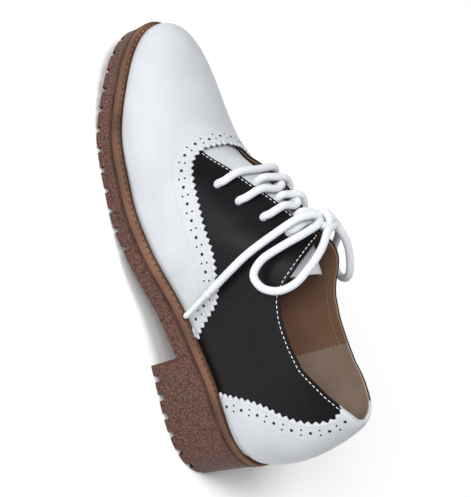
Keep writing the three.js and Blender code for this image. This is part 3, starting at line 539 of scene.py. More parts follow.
# %% [markdown]
# ## The pinked panels
# The vamp and the heel counter are cut with pinking shears where they lie on the saddle, so the edge
# is a row of teeth 4.2 mm apart and 1.9 mm deep. Each panel is a grid that runs from its edge to its
# far side. Only the edge's own row of points is moved in and out to make the teeth.

# %% Edges on the leather
TOOTH_PITCH, TOOTH_DEPTH, TOOTH_POINTS, BEHIND_TEETH = 4.2, 1.9, 8, 2.6
PANEL_LIFT, PANEL_WALL, ROW_GAP, EDGE_MARGIN = 1.5, 1.4, 0.0006, 0.045


def panel_lift(place, up):
    """The panels are skived thin where they go under the welt and the collar's binding."""
    to_edge = np.minimum(up, np.where(place < 1, OPENING(place) - up, 1))
    share = np.clip(to_edge / EDGE_MARGIN, 0, 1)
    return 0.3 + (PANEL_LIFT - 0.3) * share * (2 - share)


def edge_run(edge, side, low, high, step):
    """Places along a panel's edge, as many on both sides, so that the sides meet point to point."""
    ups = np.linspace(low, high, 800)
    runs = {half: run_along(last_point(edge(ups), half, ups)) for half in SIDES}
    count = int(round(runs[LATERAL][-1] / step))
    ups = np.interp(np.linspace(0, runs[side][-1], count + 1), runs[side], ups)
    return edge(ups), ups, np.arange(count + 1)


def slid(place, up, slopes, step):
    """The place and up that a step over the leather leads to."""
    by_place, by_up = slopes
    a, b, c = np.sum(by_place**2, -1), np.sum(by_place * by_up, -1), np.sum(by_up**2, -1)
    d, e = np.sum(step * by_place, -1), np.sum(step * by_up, -1)
    det = a * c - b * b
    return place + (c * d - b * e) / det, up + (a * e - b * d) / det


def shifted(place, up, side, distance, towards):
    """A path moved sideways over the leather, towards larger (+1) or smaller (-1) places."""
    slopes = last_slopes(place, side, np.minimum(up, 1 - 1e-3))
    tangent = unit(np.gradient(last_point(place, side, up), axis=0))
    across = np.cross(last_normal(place, side, up), tangent)
    middle = len(place) // 2
    sign = towards if np.sum(across[middle] * slopes[0][middle]) > 0 else -towards
    distances = np.broadcast_to(distance, place.shape)[:, None]
    new_place, new_up = slid(place, up, slopes, across * sign * distances)
    return new_place, np.minimum(new_up, 1)


def panel_object(node, edge, high, towards, columns, top, far_side):
    """A sheet from a pinked edge to its far side, with rows that never fold onto each other."""
    across = np.concatenate([[0], np.linspace(0, 1, columns - 1) ** 1.25])
    patches = []
    for side in SIDES:
        edge_place, edge_up, steps = edge_run(edge, side, 0, high, TOOTH_PITCH / TOOTH_POINTS)
        inner_place, inner_up = shifted(edge_place, edge_up, side, BEHIND_TEETH, towards)
        far_place, far_up = far_side(steps / steps[-1], inner_place[0])
        place = inner_place[:, None] + (far_place - inner_place)[:, None] * across
        up = inner_up[:, None] + (far_up - inner_up)[:, None] * across
        depths = TOOTH_DEPTH * np.abs(1 - 2 * (steps % TOOTH_POINTS) / TOOTH_POINTS)
        place[:, 0], up[:, 0] = shifted(edge_place, edge_up, side, depths, towards)
        apart = ROW_GAP * (1 - across)
        up = np.clip(up, apart * steps[:, None], top(place) - apart * (steps[-1] - steps[:, None]))
        up[0], up[-1] = 0, top(place[-1])
        patches.append((skin(place, side, up, panel_lift(place, up)), side == towards))
    piece = sheet_object(node + "_panel", patches, [WHITE_CALF, CUT_WHITE])
    give_wall(piece, PANEL_WALL, rim=1)
    apply_modifiers(piece)
    dress(piece, "white_leather", node)


# %% Vamp and heel counter
def vamp_far_side(share, start):
    """Along the welt to the tip of the toe, then up to the ridge."""
    return np.interp(share, [0, 0.8, 1], [start, 3, 3]), np.interp(share, [0, 0.8, 1], [0, 0, 1])


def counter_far_side(share, start):
    """Up the middle of the back."""
    return np.zeros_like(share), share * OPENING(0)


COUNTER_TOP = 0.655
panel_object("vamp", VAMP_EDGE, 1, 1, 60, np.ones_like, vamp_far_side)
panel_object("counter", COUNTER_EDGE, COUNTER_TOP, -1, 40, OPENING, counter_far_side)


# %% [markdown]
# ## The tongue
# The tongue is soft white leather under the eyestays. It is one bowed sheet with a rounded edge.

# %% Tongue
TONGUE_STATIONS = LENGTH * np.array([-0.138, -0.118, -0.074, -0.011, 0.044, 0.118, 0.169, 0.228])
TONGUE_LATERAL, TONGUE_MEDIAL, TONGUE_DROP, TONGUE_ARCH = (
    curve_through(TONGUE_STATIONS, scale * np.array(row)) for scale, row in (
        (20, [0.94, 0.92, 0.96, 1, 1, 1, 1, 0.9]),
        (20, [0.56, 0.58, 0.64, 0.74, 0.82, 0.97, 1, 0.9]),
        (4.5, [5.4, 4.7, 2.5, 1.15, 0.85, 0.72, 0.62, 0.62]),
        (12, [0.5, 0.55, 0.95, 1.1, 1, 0.83, 0.58, 0.33]),
    )
)


def tongue_height(x):
    return ridge_height(x) - TONGUE_DROP(x)


along, across = np.meshgrid(np.linspace(TONGUE_STATIONS[0], TONGUE_STATIONS[-1], 70), np.linspace(-1, 1, 40),
                            indexing="ij")
half_width = np.where(across > 0, TONGUE_LATERAL(along), TONGUE_MEDIAL(along))
tongue_grid = np.stack([
    along,
    CENTRE(along) + across * half_width,
    tongue_height(along) - TONGUE_ARCH(along) * across**2,
], -1)
tongue = sheet_object("tongue_leather", [(tongue_grid, True)], [WHITE_CALF, CUT_WHITE])
give_wall(tongue, 1.8)
tongue_edge = tongue.modifiers.new("edge", "BEVEL")
tongue_edge.width = 0.0006
tongue_edge.segments = 3
tongue_edge.angle_limit = math.radians(50)
apply_modifiers(tongue)
dress(tongue, "tongue_leather", "tongue")


# %% [markdown]
# ## The bottom: outsole, welt and insole
# The outsole is one moulded rubber unit, and the welt is a strip of leather with a rounded bead, a
# groove for the stitches and a thin inner ridge. Both are stacks of rings round the shoe. The lugs
# are part of the ring stack: where a groove lies, the outermost rings of the tread rise by its depth.

# %% Rubber and welt materials
def pebbled_rubber():
    """Moulded rubber whose side carries worm-like pebbles some 1.4 mm apart, painted with shade between them and
    light on top.
    """
    material, tree, shader = new_material("moulded_pebbled_rubber", Roughness=0.55, IOR=1.52,
                                          Specular_IOR_Level=0.22)
    place = output(tree, "Object", "ShaderNodeTexCoord")
    noise = output(tree, "Color", "ShaderNodeTexNoise", {"Vector": place, "Scale": 330.0, "Detail": 1.0})
    bend = output(tree, "Vector", "ShaderNodeVectorMath", {0: noise, "Scale": 0.0024}, operation="SCALE")
    bent = output(tree, "Vector", "ShaderNodeVectorMath", {0: place, 1: bend}, operation="ADD")
    cells = output(tree, "Distance", "ShaderNodeTexVoronoi", {"Vector": bent, "Scale": 500.0},
                   feature="DISTANCE_TO_EDGE")
    # The colour follows the pebbles' height: painted shade darkens the valleys and painted highlights lighten the
    # tops.
    tone(tree, shader, cells, (0.02, "#3A211A"), (0.1, "#54382F"), (0.24, "#66483E"))
    relief(tree, shader, cells, 0.9, 0.6)
    return material


def smooth_rubber():
    material, tree, shader = new_material("moulded_smooth_rubber", Roughness=0.7, IOR=1.52,
                                          Specular_IOR_Level=0.12)
    place = output(tree, "Object", "ShaderNodeTexCoord")
    cloud = output(tree, "Fac", "ShaderNodeTexNoise", {"Vector": place, "Scale": 120.0, "Detail": 3.0})
    tone(tree, shader, cloud, (0.3, "#3C261F"), (0.7, "#52372E"))
    relief(tree, shader, cloud, 0.3, 0.2)
    return material


PEBBLED = pebbled_rubber()
SMOOTH_RUBBER = smooth_rubber()
WELT_BEAD = leather("waxed_welt_bead", "#4A3023", "#75503A", 0.55, 0.8, 0.1, 0.0, 0.3)
# The groove's top is coloured lighter than the bead.
WELT_GROOVE = leather("welt_groove_lighter_than_bead", "#5E402D", "#8E6A4F", 0.55, 0.8, 0.1, 0.0, 0.3)
# The ridge beside the upper is dark partly in its own colour and partly as painted shade against the upper.
WELT_RIDGE = leather("welt_ridge_dark_and_painted_shade", "#3E2920", "#5C4133", 0.5, 0.6, 0.04, 0.0, 0.3)


# %% Rings round the shoe
def welt_reach(place):
    share = np.clip((place - 0.5) / 1.0, 0, 1)
    return HEEL_REACH + (WELT_REACH - HEEL_REACH) * share * share * (3 - 2 * share)


def ring_object(name, rings, places, materials, slots, linked, crisp=38):
    """Rings are functions of place and side; slots give the material of each band."""
    layers = [np.concatenate([ring(places, LATERAL), ring(places, MEDIAL)[-2:0:-1]]) for ring in rings]
    size = len(layers[0])
    closed = [np.concatenate([layer, layer[:1]]) for layer in layers]
    if linked:
        closed.append(closed[0])
    grid = np.stack(closed)
    faces = grid_faces(grid.shape[0], grid.shape[1])
    face_slots = np.repeat(slots, size).tolist()
    if not linked:
        for layer, flip in ((0, True), (len(layers) - 1, False)):
            start = layer * (size + 1)
            for i in range(len(places) - 1):
                loop = [i, i + 1, (size - i - 1) % size, (size - i) % size]
                loop = [start + k for k in dict.fromkeys(loop)]
                faces.append(loop[::-1] if flip else loop)
                face_slots.append(slots[-1])
    return face_outwards(mesh_object(name, grid.reshape(-1, 3), faces, materials, face_slots, crisp))


def ring_at(reach, below):
    def ring(places, side):
        amount = reach(places) if callable(reach) else np.full(len(places), float(reach))
        x, y = outline(places, side, amount)
        return np.stack([x, y, feather_height(x) - below], -1)

    return ring


def round_at(x):
    return 1 + (x - HEEL) / (BALL - HEEL)


# %% Outsole with its lugs
LUG_PITCH, LUG_WIDTH, LUG_DEPTH, LUG_LENGTH = 12.0, 3.0, 3.5, 10.0
HEEL_LUG_PITCH, HEEL_LUG_WIDTH, HEEL_LUG_DEPTH = 10.8, 4.0, 4.0
HEEL_TAPER, HEEL_UNDERCUT, STRAIGHT_FROM = 1.5, 1.0, 4.4
breast_place = round_at(BREAST)


def sole_edge(place):
    return welt_reach(place) - GAP


def tread_point(places, side, reach):
    x, y = outline(places, side, reach)
    z = np.maximum(0, feather_height(x) - STACK)
    heel_x, heel_y = outline(places, side, reach - HEEL_TAPER)
    heel_x = heel_x + HEEL_UNDERCUT * np.clip((BREAST - x) / HEEL_LENGTH, 0, 1)
    in_heel = places <= breast_place + 1e-9
    return np.stack([np.where(in_heel, heel_x, x), np.where(in_heel, heel_y, y), np.where(in_heel, 0, z)], -1)


def groove_places(side, low, high, pitch, width):
    """Start and end places of the grooves of one side, spread evenly between two places."""
    dense = np.linspace(low, high, 900)
    run = run_along(tread_point(dense, side, sole_edge(dense) - 1.4))
    count = int(run[-1] // pitch)
    middles = (np.arange(count) + 0.5) * run[-1] / count
    return [tuple(np.interp([middle - width / 2, middle + width / 2], run, dense)) for middle in middles]


grooves = {
    side: groove_places(side, 0.0, breast_place - 0.02, HEEL_LUG_PITCH, HEEL_LUG_WIDTH)
    + groove_places(side, round_at(-3.0), 3.0, LUG_PITCH, LUG_WIDTH)
    for side in SIDES
}
groove_edges = np.ravel([pair for side in grooves for pair in grooves[side]])
sole_places = np.unique(np.round(np.concatenate(
    [np.linspace(0, 3, 260), groove_edges - 2e-4, groove_edges + 2e-4, [breast_place, breast_place + 1e-3]]
), 6))


def lift_in_grooves(places, side):
    lift = np.zeros(len(places))
    for start, end in grooves[side]:
        depth = HEEL_LUG_DEPTH if start < breast_place else LUG_DEPTH
        lift[(places > start) & (places < end)] = depth
    return lift


def tread_ring(inset, rise, cut):
    def ring(places, side):
        points = tread_point(places, side, sole_edge(places) - inset)
        lift = lift_in_grooves(places, side)
        points[:, 2] += np.where(cut & (lift > 0), np.maximum(lift, rise), rise)
        return points

    return ring


def foot_of_side(places, side):
    """The side's ring at the groove's height, which keeps the wall straight above it."""
    bottom = tread_point(places, side, sole_edge(places) - 0.6)
    top = ring_at(lambda p: sole_edge(p) - 0.6, UNDER_WELT + 2.2)(places, side)
    share = np.clip(STRAIGHT_FROM / np.maximum(top[:, 2] - bottom[:, 2], 5.0), 0, 0.9)[:, None]
    return bottom + (top - bottom) * share


outsole_rings = [
    ring_at(-8.3, GAP),
    ring_at(-8.3, UNDER_WELT),
    ring_at(sole_edge, UNDER_WELT),
    ring_at(sole_edge, UNDER_WELT + 1.5),
    ring_at(lambda p: sole_edge(p) - 0.3, UNDER_WELT + 1.9),
    ring_at(lambda p: sole_edge(p) - 0.6, UNDER_WELT + 2.2),
    foot_of_side,
    tread_ring(0.6, 0.8, True),
    tread_ring(0.85, 0.25, True),
    tread_ring(1.4, 0.0, True),
    tread_ring(1.4 + LUG_LENGTH, 0.0, True),
    tread_ring(1.45 + LUG_LENGTH, 0.0, False),
]
outsole_slots = [1, 1, 1, 1, 0, 0, 0, 0, 1, 1, 1]
outsole = ring_object("moulded_outsole", outsole_rings, sole_places, [PEBBLED, SMOOTH_RUBBER], outsole_slots,
                      False)
dress(outsole, "brown_rubber", "outsole")

# %% Welt
def bead_ring(turn):
    def reach(places):
        return welt_reach(places) - 0.8 + 0.8 * math.cos(turn)

    return ring_at(reach, GAP + 0.8 - 0.9 * math.sin(turn))


def part_way(share):
    """Between the ridge beside the upper, dark partly as painted shade, and the bead, 1.5 mm inside the welt's
    edge.
    """
    return lambda places: 2.0 + (welt_reach(places) - 1.5 - 2.0) * np.clip(share, 0, 1)


welt_rings = [
    ring_at(-8, GAP),
    ring_at(1.5, GAP),
    ring_at(1.55, GAP - 0.1),
    ring_at(1.85, GAP - 0.05),
    ring_at(part_way(0.05), GAP + 0.35),
    ring_at(part_way(0.95), GAP + 0.35),
]
welt_rings += [bead_ring(math.radians(turn)) for turn in (150, 120, 90, 60, 30, 0, -30)]
welt_rings += [
    ring_at(lambda p: welt_reach(p) - 0.25, GAP + 2.1),
    ring_at(welt_reach, GAP + 2.9),
    ring_at(lambda p: welt_reach(p) - 0.4, GAP + WELT),
    ring_at(-8, GAP + WELT),
]
welt_slots = [2] * 4 + [1] * 2 + [0] * 8 + [2] * 3
welt = ring_object("welt_strip", welt_rings, np.linspace(0, 3, 240), [WELT_BEAD, WELT_GROOVE, WELT_RIDGE],
                   welt_slots, True)
dress(welt, "welt_leather", "welt")

# %% Insole
insole_rings = [ring_at(-3.6, -2.0), ring_at(-2.9, -1.8), ring_at(-2.6, -1.2), ring_at(-2.6, 0)]
insole = ring_object("insole_sock", insole_rings, np.linspace(0, 3, 120), [SOCK], [0, 0, 0], False)
dress(insole, "tan_leather", "insole")


# %% [markdown]
# ## The lace
# The lace is round braided cotton, 4.6 mm thick and limp. Each row and each part of the bow is a tube
# whose UV map runs round and along it in millimetres, so that the braid follows every bend. Two
# crossing waves, at the angle of the strands, give the braid's diamonds.

# %% Cotton lace and its plastic tip
def braided_cotton():
    material, tree, shader = new_material("braided_cotton_lace", Roughness=0.85, Sheen_Weight=0.25, IOR=1.45)
    along = output(tree, "UV", "ShaderNodeUVMap", uv_map="along")
    waves = []
    for angle in (52, -52):
        spin = (0, 0, math.radians(angle))
        turned = output(tree, "Vector", "ShaderNodeMapping", {"Vector": along, "Rotation": spin})
        inputs = {"Vector": turned, "Scale": 0.262, "Distortion": 0.6, "Detail": 1.0}
        waves.append(output(tree, "Fac", "ShaderNodeTexWave", inputs))
    braid = output(tree, "Value", "ShaderNodeMath", {0: waves[0], 1: waves[1]}, operation="MAXIMUM")
    # The colour follows the braid's height, so painted shade darkens the grooves between the strands.
    tone(tree, shader, braid, (0.2, "#B4B7BD"), (0.75, "#D6D9DE"))
    relief(tree, shader, braid, 0.7, 0.35)
    return material


COTTON = braided_cotton()
AGLET_FILM = new_material("clear_acetate_tip", Base_Color=colour("#DDE2E6"), Roughness=0.18, IOR=1.48,
                          Coat_Weight=0.6, Transmission_Weight=0.25)[0]


# %% Tubes along smooth paths
def smooth_path(points, step):
    """A centripetal Catmull-Rom curve through the points, resampled evenly."""
    p = np.array(points, float)
    p = np.vstack([2 * p[0] - p[1], p, 2 * p[-1] - p[-2]])
    out = []
    for i in range(1, len(p) - 2):
        level = list(p[i - 1 : i + 3])
        knots = np.concatenate([[0], np.cumsum(np.sqrt(np.linalg.norm(np.diff(level, axis=0), axis=1)))])
        t = np.linspace(knots[1], knots[2], 30, endpoint=i == len(p) - 3)[:, None]
        for first, width in ((0, 1), (0, 2), (1, 1)):
            starts = knots[first : first + len(level) - 1]
            ends = knots[first + width : first + width + len(level) - 1]
            level = [((end - t) * a + (t - start) * b) / (end - start)
                     for a, b, start, end in zip(level, level[1:], starts, ends)]
        out.append(level[0])
    fine = np.vstack(out)
    run = run_along(fine)
    even = np.linspace(0, run[-1], max(8, int(run[-1] / step)))
    return np.stack([np.interp(even, run, fine[:, k]) for k in range(3)], -1)


def tube_parts(path, radius, sides=18, start=0):
    """Points, faces and UVs of a tube with rounded ends."""
    tangent = unit(np.gradient(path, axis=0))
    frame_x = unit(np.cross(tangent[0], [0.3, 0.2, 1.0]))
    run = run_along(path)
    to_end = np.minimum(run, run[-1] - run) / radius
    radii = radius * np.sqrt(np.clip(1 - np.clip(1 - to_end, 0, 1) ** 2, 0.06, 1))
    points, uvs = [], []
    turns = np.linspace(0, 2 * math.pi, sides + 1)
    for i, centre in enumerate(path):
        frame_x = unit(frame_x - tangent[i] * np.dot(frame_x, tangent[i]))
        frame_y = np.cross(tangent[i], frame_x)
        around = np.outer(np.cos(turns), frame_x) + np.outer(np.sin(turns), frame_y)
        points.append(centre + radii[i] * around)
        uvs.append(np.stack([turns * np.max(radius), np.full(sides + 1, run[i])], -1))
    faces = grid_faces(len(path), sides + 1, start, True)
    flat_uvs = np.concatenate(uvs)
    corner_uvs = [flat_uvs[k - start] for face in faces for k in face]
    for ring, way in ((0, -1), (len(path) - 1, 1)):
        cap = [start + ring * (sides + 1) + k for k in range(sides)]
        faces.append(cap[::way])
        corner_uvs += [flat_uvs[ring * (sides + 1)]] * sides
    return np.concatenate(points), faces, corner_uvs


def tube_object(name, paths, radius, material):
    points, faces, uvs = [], [], []
    for path in paths:
        more_points, more_faces, more_uvs = tube_parts(path, radius, start=sum(len(p) for p in points))
        points.append(more_points)
        faces += more_faces
        uvs += more_uvs
    made = mesh_object(name, np.concatenate(points), faces, [material], corner_uvs=uvs, crisp=60)
    return face_outwards(made)


# %% The bow
LACE_RADIUS, AGLET_LENGTH, AGLET_START = 2.3, 22.0, 2.4
BOW = {
    "lateral_loop": [
        [-12.2, 6.6, 118.2], [-16, 16, 114.5], [-20.5, 25, 105], [-26, 32.5, 95], [-33, 35, 90],
        [-40.5, 34, 93], [-44.5, 31, 101], [-43, 27.5, 110.5], [-36, 22, 118.5], [-26.5, 13.5, 123.5],
        [-16.5, 4.3, 123.6],
    ],
    "medial_loop": [
        [-12.5, -10, 120.5], [-19.9, -17.8, 119], [-27.9, -24.1, 115.4], [-36, -29, 110.3],
        [-38.9, -31.3, 106.9], [-39.8, -33.9, 102.6], [-38.4, -36.2, 98.3], [-35, -38, 95],
        [-30.4, -38.9, 93.4], [-25.5, -38.8, 93.8], [-21.3, -37.4, 96], [-18.7, -35, 99.6],
        [-15.2, -28.5, 107.6], [-12, -20.6, 114.1], [-9.3, -11.2, 118.5],
    ],
    "lateral_end": [
        [-5.4, 7.4, 117.4], [-6.5, 15, 113.5], [-12.5, 25, 102.5], [-20.5, 33.5, 87], [-27.5, 37, 75],
        [-33, 38, 64.5], [-36, 38.3, 58.3],
    ],
    "medial_end": [
        [-3.9, -9, 116.4], [-5.5, -16.5, 111.5], [-10, -24.5, 101], [-14, -32, 88], [-17, -36, 77],
        [-19.5, -38, 67], [-21, -38.3, 60],
    ],
}


def aglet_object(side_name, path):
    """A film tip 22 mm long that carries on from the cord's end."""
    along = unit(path[-1] - path[-3])
    run = np.linspace(0, AGLET_LENGTH + AGLET_START, 40)
    line = path[-1] - along * AGLET_START + np.outer(run, unit(along * [1, 0.3, 1]))
    made = tube_object("film_tip_" + side_name, [line], np.interp(run, [2.5, 5.5], [2.42, 1.75]), AGLET_FILM)
    dress(made, "clear_plastic", "aglet_" + side_name)
    return made


bow_paths = {name: smooth_path(route, 0.8) for name, route in BOW.items()}
for name, path in bow_paths.items():
    length = float(run_along(path)[-1])
    cord = tube_object("lace_" + name, [path], LACE_RADIUS, COTTON)
    side_name, part = name.split("_")
    is_end = part == "end"
    dress(cord, "white_cord", "lace_" + part + "_" + side_name)
    pieces = [aglet_object(side_name, path)] if is_end else []
    print(name, "is", round(length), "mm long")

# %% [markdown]
# ## The knot
# A bow's knot is one turn of the lace pulled tight round the others. It is made of the turn itself
# and of three passes through it, each of which runs on into the loops and the ends.

# %% Knot
KNOT = np.array([-8.0, -1.0, 120.0])


def knot_pass(first, middle, last):
    """A pass that carries on from the cords on both sides of the knot, inside their ends."""
    return smooth_path(np.concatenate([first, [middle], last])[::2], 0.6)


passes = [
    knot_pass(bow_paths["lateral_loop"][-7:], [-9.5, -2.5, 122.4], bow_paths["medial_loop"][:7]),
    knot_pass(bow_paths["lateral_loop"][6::-1], [-8.5, 0, 118.6], bow_paths["medial_end"][:7]),
    knot_pass(bow_paths["lateral_end"][6::-1], [-7, 0, 119.4], bow_paths["medial_loop"][:-8:-1]),
]
bow_axis = unit(np.array([0.43, -0.88, -0.2]))
level_axis = unit(np.cross(bow_axis, [0, 0, 1]))
turns = np.linspace(-0.6 * math.pi, 2.6 * math.pi, 70)[:, None]
tucked = np.clip(np.minimum(turns - turns[0], turns[-1] - turns) / 0.9, 0, 1)
wrap = KNOT + bow_axis * (turns - math.pi) * 0.75 + (0.5 + 0.5 * tucked) * (
    3.8 * np.cos(turns) * level_axis + 2.8 * np.sin(turns) * np.cross(level_axis, bow_axis))
knot = tube_object("lace_knot_turns", [wrap] + passes, LACE_RADIUS, COTTON)
dress(knot, "white_cord", "lace_knot")


# %% Lace rows
SLACK = 0.03


def over(row, side, lift):
    place, up = eyelet(row, side)
    return skin(np.array(place), side, np.array(up), lift)


def over_eyestay(place, side, lift, inset=0.02):
    return skin(np.array(place), side, OPENING(place) - inset, lift)


def over_middle(place, lift):
    _, _, ridge_x, ridge_y = feather_line(np.array(place), LATERAL)
    slope = (tongue_height(ridge_x + 1) - tongue_height(ridge_x - 1)) / 2
    edges = (over_eyestay(place, LATERAL, lift)[2] + over_eyestay(place, MEDIAL, lift)[2]) / 2
    height = max(edges, tongue_height(ridge_x) + lift * math.hypot(1, slope))
    return np.array([float(ridge_x), float(ridge_y), float(height)])


def eyelet_dive(row, side):
    """Points from inside the eyelet up to the lace's line over the leather."""
    place, up = eyelet(row, side)
    above_leather = skin(np.array(place), side, np.array(up + 0.04), 2.3)
    return [over(row, side, -3.5), over(row, side, 0.6), above_leather]


def bar_paths(row):
    if row == 0:
        place, far_place = eyelet(0, LATERAL)[0], eyelet(0, MEDIAL)[0]
        ends = [eyelet_dive(0, LATERAL), eyelet_dive(0, MEDIAL)[::-1]]
        middle = [over_eyestay(place + SLACK * 0.8, LATERAL, 2.6),
                  over_middle((place + far_place) / 2 + SLACK, 2.6),
                  over_eyestay(far_place + SLACK * 0.5, MEDIAL, 2.6)]
        return [smooth_path(ends[0] + middle + ends[1], 0.7)]
    place = EYELETS[row][0]
    paths = []
    for side in SIDES:
        on_top = side == LATERAL
        ahead = np.interp(0.85 if on_top else 0.7, [0, 1], [place, EYELETS[row - 1][0]])
        crossing = over_middle(ahead + 0.01 if on_top else (ahead + place) / 2, 4.6 if on_top else 2.5)
        hidden = over_eyestay(ahead, side, -5.5, 0.0) * 0.85 + over_middle(ahead, -4.0) * 0.15
        half_way = over_eyestay(ahead, side, 1.6, -0.03) * 0.5 + crossing * 0.5
        end = eyelet_dive(row, -side)[::-1]
        edge = over_eyestay(eyelet(row, -side)[0] + SLACK * (1.3 if on_top else 0.8), -side, 2.7)
        paths.append(smooth_path([hidden, half_way, crossing, edge] + end, 0.7))
    return paths


for row, node in enumerate(["lace_bar_1", "lace_cross_2", "lace_cross_3", "lace_cross_4"]):
    lace = tube_object("row_" + str(row + 1) + "_lace", bar_paths(row), LACE_RADIUS, COTTON)
    dress(lace, "white_cord", node)


# %% [markdown]
# ## Stitches and punched holes
# A stitch or a hole repeats along a path on the leather, so Geometry Nodes place them. The path is a
# thin chain of points that carries the leather's normal. One tree lays a stitch every few millimetres,
# and another alternates one large hole with a pair of small ones, as brogueing does.

# %% Threads and holes
WHITE_THREAD = new_material("waxed_white_thread", Base_Color=colour("#DCDCDA"), Roughness=0.6)[0]
# The faint rows' thread is painted grey as the shade of the stitch line's indentation in the white leather.
SHADED_STITCH_THREAD = new_material("thread_painted_grey_as_stitch_shade", Base_Color=colour("#9A9DA3"), Roughness=0.7)[0]
TAN_THREAD = new_material("waxed_tan_thread", Base_Color=colour("#3E2214"), Roughness=0.6)[0]
LINING_THREAD = new_material("beige_lining_thread", Base_Color=colour("#8A7361"), Roughness=0.7)[0]
PUNCHED = new_material("shadow_in_a_punched_hole", Base_Color=colour("#1B1B1F"), Roughness=0.9)[0]


def new_tree(name, sizes):
    tree = bpy.data.node_groups.new(name, "GeometryNodeTree")
    tree.interface.new_socket("Geometry", in_out="INPUT", socket_type="NodeSocketGeometry")
    for size in sizes:
        tree.interface.new_socket(size, in_out="INPUT", socket_type="NodeSocketFloat")
    tree.interface.new_socket("Material", in_out="INPUT", socket_type="NodeSocketMaterial")
    tree.interface.new_socket("Geometry", in_out="OUTPUT", socket_type="NodeSocketGeometry")
    return tree, tree.nodes.new("NodeGroupInput"), tree.nodes.new("NodeGroupOutput")


def along_path(tree, entry, pitch):
    """The path as points at a pitch, and the turn that lays a shape along it on the leather."""
    curve = output(tree, "Curve", "GeometryNodeMeshToCurve", {"Mesh": entry.outputs["Geometry"]})
    points = output(tree, "Curve", "GeometryNodeResampleCurve", {"Curve": curve, "Length": pitch}, mode="LENGTH")
    normal = output(tree, "Attribute", "GeometryNodeInputNamedAttribute", {"Name": "leather_normal"},
                    data_type="FLOAT_VECTOR")
    tangent = output(tree, "Tangent", "GeometryNodeInputTangent")
    turn = output(tree, "Rotation", "FunctionNodeAxesToRotation",
                  {"Primary Axis": normal, "Secondary Axis": tangent}, primary_axis="Z", secondary_axis="X")
    return points, normal, tangent, turn


def stitch_tree():
    tree, entry, exit_node = new_tree("stitches_along_a_path", ["Pitch", "Length", "Width"])
    points, _, _, turn = along_path(tree, entry, entry.outputs["Pitch"])
    bead = output(tree, "Mesh", "GeometryNodeMeshUVSphere", {"Segments": 8, "Rings": 5, "Radius": 0.5})
    width = entry.outputs["Width"]
    size = output(tree, "Vector", "ShaderNodeCombineXYZ", {"X": entry.outputs["Length"], "Y": width, "Z": width})
    placed = add_node(tree, "GeometryNodeInstanceOnPoints", {"Points": points, "Instance": bead,
                                                             "Rotation": turn, "Scale": size})
    real = add_node(tree, "GeometryNodeRealizeInstances", {"Geometry": placed.outputs["Instances"]})
    dyed = add_node(tree, "GeometryNodeSetMaterial", {"Geometry": real.outputs["Geometry"],
                                                      "Material": entry.outputs["Material"]})
    tree.links.new(dyed.outputs["Geometry"], exit_node.inputs["Geometry"])
    return tree


def brogue_tree():
    tree, entry, exit_node = new_tree("brogue_holes_along_a_path", ["Pitch", "Large", "Small", "Spread"])
    half = add_node(tree, "ShaderNodeMath", {0: entry.outputs["Pitch"], 1: 0.5}, operation="MULTIPLY")
    points, normal, tangent, turn = along_path(tree, entry, half.outputs["Value"])
    index = add_node(tree, "GeometryNodeInputIndex")
    odd = output(tree, "Value", "ShaderNodeMath", {0: index.outputs["Index"], 1: 2.0}, operation="MODULO")
    even = output(tree, "Value", "ShaderNodeMath", {0: 1.0, 1: odd}, operation="SUBTRACT")
    disc = add_node(tree, "GeometryNodeMeshCylinder", {"Vertices": 12, "Radius": 0.5, "Depth": 0.00012})
    sideways = add_node(tree, "ShaderNodeVectorMath", {0: normal, 1: tangent}, operation="CROSS_PRODUCT")
    joined = add_node(tree, "GeometryNodeJoinGeometry")
    for size, chosen, way in (("Large", even, 0.0), ("Small", odd, 1.0), ("Small", odd, -1.0)):
        amount = output(tree, "Value", "ShaderNodeMath", {0: entry.outputs["Spread"], 1: way},
                        operation="MULTIPLY")
        offset = output(tree, "Vector", "ShaderNodeVectorMath",
                        {0: sideways.outputs["Vector"], "Scale": amount}, operation="SCALE")
        moved = output(tree, "Geometry", "GeometryNodeSetPosition", {"Geometry": points, "Offset": offset})
        width = entry.outputs[size]
        scale = output(tree, "Vector", "ShaderNodeCombineXYZ", {"X": width, "Y": width, "Z": 1.0})
        placed = add_node(tree, "GeometryNodeInstanceOnPoints", {
            "Points": moved, "Selection": chosen, "Instance": disc.outputs["Mesh"], "Rotation": turn,
            "Scale": scale})
        tree.links.new(placed.outputs["Instances"], joined.inputs["Geometry"])
    real = add_node(tree, "GeometryNodeRealizeInstances", {"Geometry": joined.outputs["Geometry"]})
    dyed = add_node(tree, "GeometryNodeSetMaterial", {"Geometry": real.outputs["Geometry"],
                                                      "Material": entry.outputs["Material"]})
    tree.links.new(dyed.outputs["Geometry"], exit_node.inputs["Geometry"])
    return tree


STITCHES = stitch_tree()
BROGUE = brogue_tree()


def follow(name, tree, paths, sizes, material, slot):
    """One piece made by a tree along paths of (points, normals), all in mm."""
    points = np.concatenate([p for p, _ in paths])
    normals = np.concatenate([n for _, n in paths])
    edges, start = [], 0
    for p, _ in paths:
        edges += [(start + k, start + k + 1) for k in range(len(p) - 1)]
        start += len(p)
    mesh = bpy.data.meshes.new(name)
    mesh.from_pydata(((points + SHIFT) / 1000).tolist(), edges, [])
    mesh.attributes.new("leather_normal", "FLOAT_VECTOR", "POINT").data.foreach_set("vector", normals.ravel())
    piece = link_object(name, mesh)
    modifier = piece.modifiers.new("follow", "NODES")
    modifier.node_group = tree
    for item in tree.interface.items_tree:
        if item.in_out == "INPUT" and item.name in sizes:
            modifier[item.identifier] = sizes[item.name] / 1000
        if item.in_out == "INPUT" and item.name == "Material":
            modifier[item.identifier] = material
    apply_modifiers(piece)
    piece.data.shade_smooth()
    dress(piece, slot)


def on_leather(place, up, side, lift):
    return skin(place, side, np.minimum(up, 1), lift), last_normal(place, side, up)


